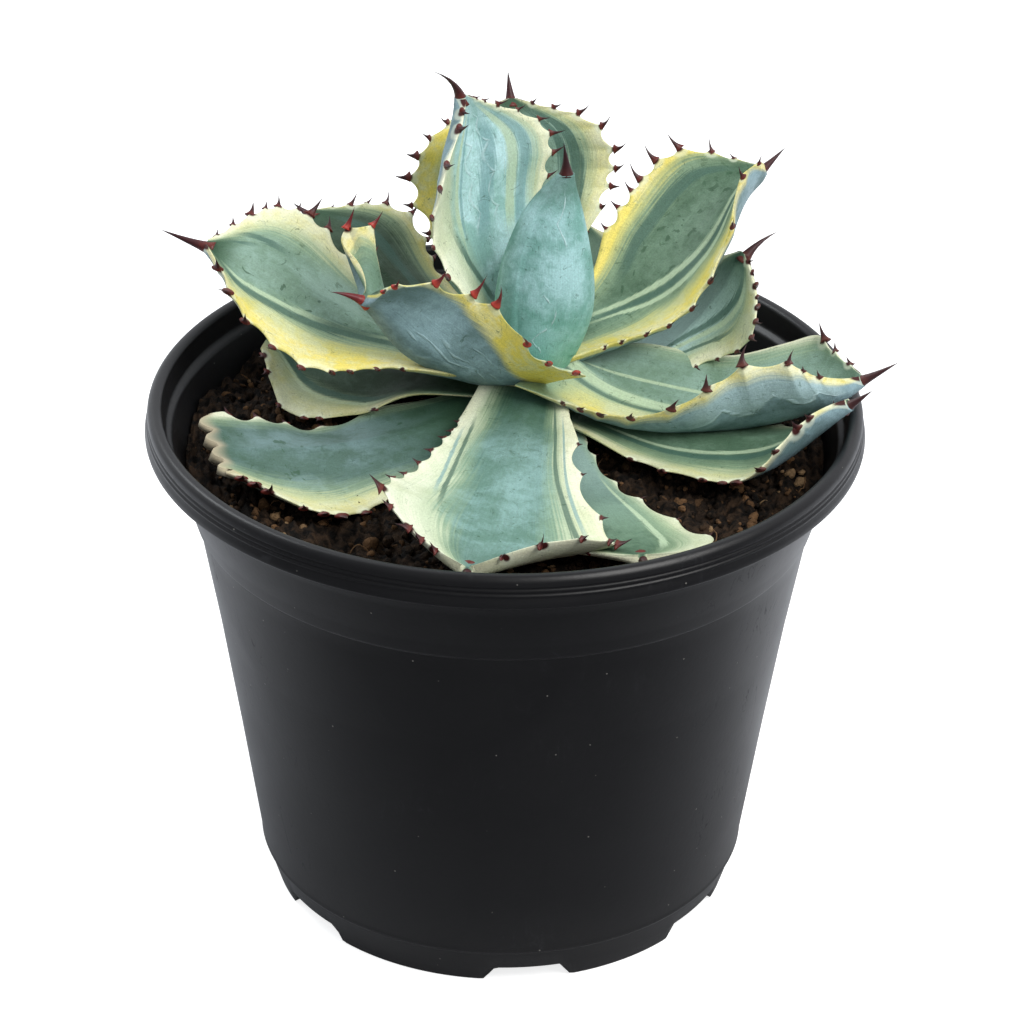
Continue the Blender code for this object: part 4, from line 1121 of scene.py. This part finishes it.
# %% Pot shape
POT_SIDES = 288
FLOOR_Z = 5.2
POT_SECTION = (
    (48.0, FLOOR_Z), (50.9, 9.3), (55.2, 39.0), (59.0, 65.0), (63.0, 89.7), (65.9, 97.5),
    (69.2, 107.0), (70.6, 107.9),
    (71.2, 112.6), (72.0, POT_HEIGHT), (73.2, POT_HEIGHT), (74.1, 112.2), (74.3, 111.2),
    (74.05, 110.8), (74.45, 110.3), (74.15, 109.8), (74.6, 109.3), (74.4, 108.9),
    (LIP_RADIUS, 107.6), (74.8, 106.5), (70.9, 105.8), (69.2, 101.8), (67.6, 97.0),
    (66.1, 92.6), (65.2, 89.5), (65.0, 89.1), (64.5, 88.8), (60.4, 65.0), (56.5, 39.0),
    (52.4, 10.1), (52.5, 9.2), (51.9, 8.6), (49.3, 0.0), (46.6, 0.0), (46.2, 4.0))
CORNER = 0.55
NOTCH_TURNS = (-143, -83, -33, 27, 87, 147)
NOTCH_WIDTH = 19.0
NOTCH_HEIGHT = 3.3
NOTCH_SLOPE = 2.6


def soften(section, radius, steps=4):
    """Round each inner corner of a section with a short curve."""
    points = [np.array(p, float) for p in section]
    soft = [points[0]]
    for before, corner, after in zip(points, points[1:], points[2:]):
        back, ahead = before - corner, after - corner
        cut = min(radius, 0.45 * np.linalg.norm(back), 0.45 * np.linalg.norm(ahead))
        start = corner + back / np.linalg.norm(back) * cut
        stop = corner + ahead / np.linalg.norm(ahead) * cut
        for t in np.linspace(0, 1, steps):
            soft.append((1 - t) ** 2 * start + 2 * t * (1 - t) * corner + t**2 * stop)
    soft.append(points[-1])
    return soft


def subdivide(section, longest):
    """Add points on the long straight stretches of a section."""
    fine = []
    for a, b in zip(section, section[1:]):
        count = max(1, int(np.linalg.norm(b - a) / longest))
        fine += [a + (b - a) * k / count for k in range(count)]
    return fine + [section[-1]]


def make_pot():
    section = subdivide(soften(POT_SECTION, CORNER), 3.0)
    pot = turned("fine_pot", [(0, FLOOR_Z), *section, (0, 4.0)], POT_SIDES)
    for vertex in pot.data.vertices:
        x, y, z = (c / MM for c in vertex.co)
        radius = math.hypot(x, y)
        if radius < 45 or z > NOTCH_HEIGHT + 0.5:
            continue
        away = min(abs((math.degrees(math.atan2(y, x)) - t + 180) % 360 - 180) for t in NOTCH_TURNS)
        run = NOTCH_WIDTH / 2 - math.radians(away) * radius
        lifted = NOTCH_HEIGHT * min(1, max(0, run / NOTCH_SLOPE))
        vertex.co.z = max(z, lifted) * MM
    cutters = bmesh.new()
    for t in NOTCH_TURNS:
        turn = math.radians(t)
        place = Matrix.Translation((0.037 * math.cos(turn), 0.037 * math.sin(turn), FLOOR_Z * MM))
        bmesh.ops.create_cone(cutters, cap_ends=True, segments=32, radius1=0.0045,
                              radius2=0.0045, depth=0.01, matrix=place)
    mesh = bpy.data.meshes.new("drain_cutters")
    cutters.to_mesh(mesh)
    cutters.free()
    drains = new_object("drain_cutters", mesh)
    cut = pot.modifiers.new("drains", "BOOLEAN")
    cut.operation = "DIFFERENCE"
    cut.object = drains
    cut.solver = "EXACT"
    graph = bpy.context.evaluated_depsgraph_get()
    finished = bpy.data.meshes.new_from_object(pot.evaluated_get(graph))
    pot.modifiers.clear()
    pot.data = finished
    bpy.data.objects.remove(drains, do_unlink=True)
    return pot


pot = make_pot()
print("pot", len(pot.data.polygons), "faces")

# %% [markdown]
# ## Black moulded plastic
# The plastic is nearly black with a satin shine. Handling leaves fine scuffs that catch the light,
# and potting leaves pale dust in specks and in a faint film low down.

# %% Pot finish
scuff_group, given, made = new_group("scuffs", {"Amount": 0.5, "Size": 1.0}, ["Scuff", "Specks"])
tree = scuff_group
spot = in_millimetres(tree)
stretched = add_node(tree, "ShaderNodeVectorMath", {0: spot, 1: (1.0, 1.0, 0.22)},
                     operation="MULTIPLY").outputs[0]
thread = calc(tree, "ABSOLUTE", minus(tree, noise(
    tree, stretched, calc(tree, "DIVIDE", 0.22, given["Size"]), 3.0, 1.4), 0.5))
patchy = ramp(tree, noise(tree, spot, 0.07, 2.0), 0.52, 0.7)
tree.links.new(times(tree, times(tree, ramp(tree, thread, 0.012, 0.002),
                                           patchy), given["Amount"]), made["Scuff"])
dots = add_node(tree, "ShaderNodeTexVoronoi", {"Vector": spot, "Scale": 0.33,
                                               "Randomness": 1.0}).outputs["Distance"]
sparse = ramp(tree, noise(tree, spot, 0.3, 1.0), 0.55, 0.6)
tree.links.new(times(tree, ramp(tree, dots, 0.075, 0.045), sparse), made["Specks"])


def paint_pot():
    material, tree, shader = new_material("pot_plastic")
    spot = in_millimetres(tree)
    wear = place_group(tree, scuff_group, amount=0.8)
    cloud = noise(tree, spot, 0.05, 4.0, 0.5)
    peel = noise(tree, spot, 0.9, 2.0)
    height_up = add_node(tree, "ShaderNodeSeparateXYZ", {0: spot}).outputs[2]
    color = blend(tree, cloud, srgb(18, 18, 20), srgb(25, 25, 27))
    dust = times(tree, times(tree, ramp(tree, height_up, 25.0, 0.0), cloud), 0.03)
    color = blend(tree, dust, color, srgb(150, 145, 138))
    color = blend(tree, times(tree, wear["Scuff"], 0.1), color, srgb(96, 98, 106))
    color = blend(tree, times(tree, wear["Specks"], 0.35), color, srgb(168, 164, 156))
    tree.links.new(color, shader["Base Color"])
    rough = plus(tree, 0.3, times(tree, cloud, 0.16))
    rough = plus(tree, rough, times(tree, wear["Scuff"], 0.25))
    tree.links.new(rough, shader["Roughness"])
    shader["Specular IOR Level"].default_value = 0.4
    add_bump(tree, shader, plus(tree, times(tree, peel, 0.3), wear["Specks"]), 0.25, 0.0002)
    return material


pot.data.materials.clear()
pot.data.materials.append(paint_pot())
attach(pot, "root")
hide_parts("pot")
print("pot painted")

# %% [markdown]
# ## Soil
# Peat-based mix dries into crumbs. The bed is a fine disc that heaves with layered waves, and over
# it lie separate crumbs of several sizes: each is a ball whose points are pushed in and out.

# %% Soil bed
SOIL_LEVEL = soil_high.z / MM - 1.2
SOIL_RADIUS = 66.5
BED_RINGS = 150
BED_SIDES = 300


def heave(x, y):
    """Height of the bed above its mean level, as a sum of tilted waves."""
    rng = np.random.default_rng(7)
    total = 0 * x
    for size, rise in ((26, 0.5), (11, 0.45), (5.5, 0.45), (3.2, 0.4), (1.9, 0.3), (1.2, 0.2)):
        for _ in range(5):
            turn, phase = rng.uniform(0, 2 * math.pi, 2)
            warp = 0.6 * np.sin((x * math.sin(turn) - y * math.cos(turn)) / size * 1.7 + phase)
            wave = np.sin((x * math.cos(turn) + y * math.sin(turn)) * 2 * math.pi / size
                          + phase + warp)
            total = total + rise / 2.2 * wave
    return total


def make_bed():
    ring = np.sqrt(np.linspace(0.0004, 1, BED_RINGS)) * SOIL_RADIUS
    turn = 2 * math.pi * np.arange(BED_SIDES) / BED_SIDES
    x, y = np.outer(ring, np.cos(turn)), np.outer(ring, np.sin(turn))
    lift = heave(x, y)
    z = SOIL_LEVEL + np.where(lift > 0, lift, lift * 1.3)
    z = z + 1.2 * np.clip((ring / SOIL_RADIUS - 0.93) / 0.07, 0, 1)[:, None]
    rings = [np.stack([x, y, z], -1).reshape(-1, 3)]
    rim = np.stack([x[-1], y[-1], np.full(BED_SIDES, SOIL_LEVEL - 5)], -1)
    points = np.concatenate([rings[0], rim])
    faces = ring_faces(0, BED_SIDES, BED_RINGS + 1)
    faces += [tuple(range(BED_SIDES))[::-1],
              tuple(BED_RINGS * BED_SIDES + j for j in range(BED_SIDES))]
    mesh = bpy.data.meshes.new("soil_bed")
    mesh.from_pydata(points * MM, [], faces)
    mesh.shade_smooth()
    return new_object("soil_bed", mesh)


bed = make_bed()
print("soil bed at %.1f mm" % SOIL_LEVEL)

# %% Crumbs
CRUMBS = 2150
CHIPS = 230
FIBRES = 45
FIBRE_RINGS = 9
FIBRE_SIDES = 5
FIBRE_RADIUS = 0.14


def make_crumbs():
    """Lumps scattered over the bed, joined into one piece, each with its own tone."""
    rng = np.random.default_rng(23)
    ball = bmesh.new()
    bmesh.ops.create_icosphere(ball, subdivisions=2, radius=1.0)
    unit = np.array([v.co for v in ball.verts])
    triangles = [tuple(v.index for v in f.verts) for f in ball.faces]
    ball.free()
    points, faces, tones = [], [], []
    for number in range(CRUMBS):
        radius = SOIL_RADIUS * 0.985 * math.sqrt(rng.uniform(0, 1))
        turn = rng.uniform(0, 2 * math.pi)
        x, y = radius * math.cos(turn), radius * math.sin(turn)
        size = 0.45 + 1.3 * rng.uniform(0, 1) ** 3
        flatness = np.array([1.0, 1.0, 1.0])
        if number < CHIPS:
            size = rng.uniform(0.8, 1.7)
            flatness = np.array([1.0, rng.uniform(0.5, 0.9), rng.uniform(0.3, 0.5)])
        lump = unit * (1 + 0.28 * np.sin(unit @ rng.uniform(-4, 4, (3, 3)) + 3).sum(-1)[:, None] / 2)
        lump = lump * size * rng.uniform(0.65, 1.1, 3) * flatness
        spin = np.linalg.qr(rng.normal(size=(3, 3)))[0]
        z = SOIL_LEVEL + float(heave(np.array(x), np.array(y))) + 0.25 * size
        z = min(z, SOIL_LEVEL + 1.4 - size)
        points.append(lump @ spin + np.array([x, y, z]))
        faces += [tuple(i + number * len(unit) for i in f) for f in triangles]
        tone = rng.uniform(0, 1) if number >= CHIPS else rng.uniform(0.45, 1)
        tones.append(np.full(len(unit), tone))
    first = CRUMBS * len(unit)
    for number in range(FIBRES):
        radius, turn, heading = rng.uniform(20, 64), rng.uniform(0, 6.28), rng.uniform(0, 6.28)
        t = np.linspace(0, 1, FIBRE_RINGS)
        bend = heading + rng.uniform(-1.6, 1.6) * t
        step = rng.uniform(3, 9) / (FIBRE_RINGS - 1)
        x = radius * math.cos(turn) + np.cumsum(np.cos(bend)) * step
        y = radius * math.sin(turn) + np.cumsum(np.sin(bend)) * step
        scale = np.minimum(1, SOIL_RADIUS * 0.97 / np.hypot(x, y))
        x, y = x * scale, y * scale
        z = SOIL_LEVEL + heave(x, y) + 0.5 + rng.uniform(0.2, 1.4) * np.sin(math.pi * t)
        spin = 2 * math.pi * np.arange(FIBRE_SIDES) / FIBRE_SIDES
        rings = np.stack([x, y, z], -1)[:, None] + FIBRE_RADIUS * np.stack(
            [np.outer(-np.sin(bend), np.cos(spin)), np.outer(np.cos(bend), np.cos(spin)),
             np.outer(np.ones(FIBRE_RINGS), np.sin(spin))], -1)
        points.append(rings.reshape(-1, 3))
        faces += ring_faces(first, FIBRE_SIDES, FIBRE_RINGS)
        end = first + FIBRE_SIDES * FIBRE_RINGS
        faces += [tuple(range(first, first + FIBRE_SIDES))[::-1], tuple(range(end - FIBRE_SIDES, end))]
        tones.append(np.full(end - first, 0.96 if number % 3 else 0.7))
        first = end
    mesh = bpy.data.meshes.new("soil_crumbs")
    mesh.from_pydata(np.concatenate(points) * MM, [], faces)
    layer = mesh.attributes.new("tone", "FLOAT", "POINT")
    layer.data.foreach_set("value", np.concatenate(tones).astype(np.float32))
    mesh.shade_smooth()
    return new_object("soil_crumbs", mesh)


crumbs = make_crumbs()
print(CRUMBS, "crumbs,", len(crumbs.data.polygons), "faces")

# %% [markdown]
# Soil colour runs from near black, where it is damp, to tan on the few dry bits of bark. Crumbs
# carry a tone of their own, and the same noise roughens bed and crumbs.

# %% Soil finish
def paint_soil(name, with_tone):
    material, tree, shader = new_material(name)
    spot = in_millimetres(tree)
    coarse = noise(tree, spot, 0.45, 4.0, 0.5)
    fine = noise(tree, spot, 2.5, 3.0)
    color = blend(tree, ramp(tree, coarse, 0.35, 0.7), srgb(10, 7, 5), srgb(56, 41, 28))
    if with_tone:
        tone = add_node(tree, "ShaderNodeAttribute", attribute_name="tone").outputs["Fac"]
        color = blend(tree, times(tree, ramp(tree, tone, 0.45, 0.95), 0.8), color,
                      srgb(112, 82, 54))
        color = blend(tree, times(tree, ramp(tree, tone, 0.955, 0.975), 0.7), color,
                      srgb(138, 114, 84))
    color = blend(tree, times(tree, ramp(tree, fine, 0.64, 0.8), 0.2), color, srgb(80, 58, 38))
    tree.links.new(color, shader["Base Color"])
    tree.links.new(plus(tree, 0.75, times(tree, fine, 0.2)), shader["Roughness"])
    shader["Specular IOR Level"].default_value = 0.2
    add_bump(tree, shader, plus(tree, fine, coarse), 0.9, 0.0005)
    return material


for piece, with_tone in ((bed, False), (crumbs, True)):
    piece.data.materials.append(paint_soil(piece.name + "_paint", with_tone))
    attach(piece, "root")
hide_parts("soil")
print("soil painted")

# %% [markdown]
# ## Studio
# A pale floor that runs past the view on every side, a bright even sky, a large soft lamp high on
# the right and a weaker one behind on the left. Smooth plastic mirrors a bright studio at its
# sides and a dark room at its front, so mirror rays find a sky that brightens from front to back.

# %% Floor and light
floor_mesh = bpy.data.meshes.new("floor")
floor_mesh.from_pydata([(-4, -4, 0), (4, -4, 0), (4, 4, 0), (-4, 4, 0)], [], [(0, 1, 2, 3)])
floor = new_object("floor", floor_mesh)
material, tree, shader = new_material("floor_white")
shader["Roughness"].default_value = 0.8
shader["Specular IOR Level"].default_value = 0.1
shader["Emission Color"].default_value = (1.0, 1.0, 1.0, 1.0)
paths = add_node(tree, "ShaderNodeLightPath").outputs
depth = add_node(tree, "ShaderNodeSeparateXYZ", {
    0: add_node(tree, "ShaderNodeTexCoord").outputs["Object"]}).outputs[1]
mirrored = blend(tree, ramp(tree, depth, -0.13, 0.1), (0.06, 0.06, 0.065, 1.0),
                 (0.85, 0.86, 0.9, 1.0))
tree.links.new(blend(tree, paths["Is Glossy Ray"], (0.6, 0.6, 0.6, 1.0), mirrored),
               shader["Base Color"])
tree.links.new(times(tree, paths["Is Camera Ray"], 0.78), shader["Emission Strength"])
floor_mesh.materials.append(material)

world = bpy.data.worlds.new("studio")
world.use_nodes = True
tree = world.node_tree
sky = tree.nodes["Background"]
sideways, backwards, upwards = add_node(tree, "ShaderNodeSeparateXYZ", {
    0: add_node(tree, "ShaderNodeTexCoord").outputs["Generated"]}).outputs
light = blend(tree, ramp(tree, upwards, 0.0, 0.9), (0.48, 0.50, 0.52, 1.0), (0.90, 0.93, 0.96, 1.0))
sheen = blend(tree, ramp(tree, backwards, -0.25, 0.8), (0.05, 0.05, 0.055, 1.0),
              (0.86, 0.88, 0.92, 1.0))
paths = add_node(tree, "ShaderNodeLightPath").outputs
light = blend(tree, paths["Is Glossy Ray"], light, sheen)
tree.links.new(blend(tree, paths["Is Camera Ray"], light, (1.0, 1.0, 1.0, 1.0)),
               sky.inputs["Color"])
bpy.context.scene.world = world


def add_lamp(name, place, target, size, watts, color):
    lamp = bpy.data.lights.new(name, "AREA")
    lamp.shape = "DISK"
    lamp.size = size
    lamp.energy = watts
    lamp.color = color
    thing = new_object(name, lamp)
    thing.location = place
    thing.rotation_euler = (Vector(target) - Vector(place)).to_track_quat("-Z", "Y").to_euler()
    return thing


add_lamp("key", (0.62, -0.5, 1.0), (0, 0, 0.1), 0.7, 11.0, (1.0, 0.99, 0.97))
add_lamp("edge", (-0.7, 0.45, 0.9), (0, 0, 0.1), 0.5, 4.4, (0.94, 0.98, 1.0))
bpy.context.scene.view_settings.view_transform = "Standard"
print("studio lit")
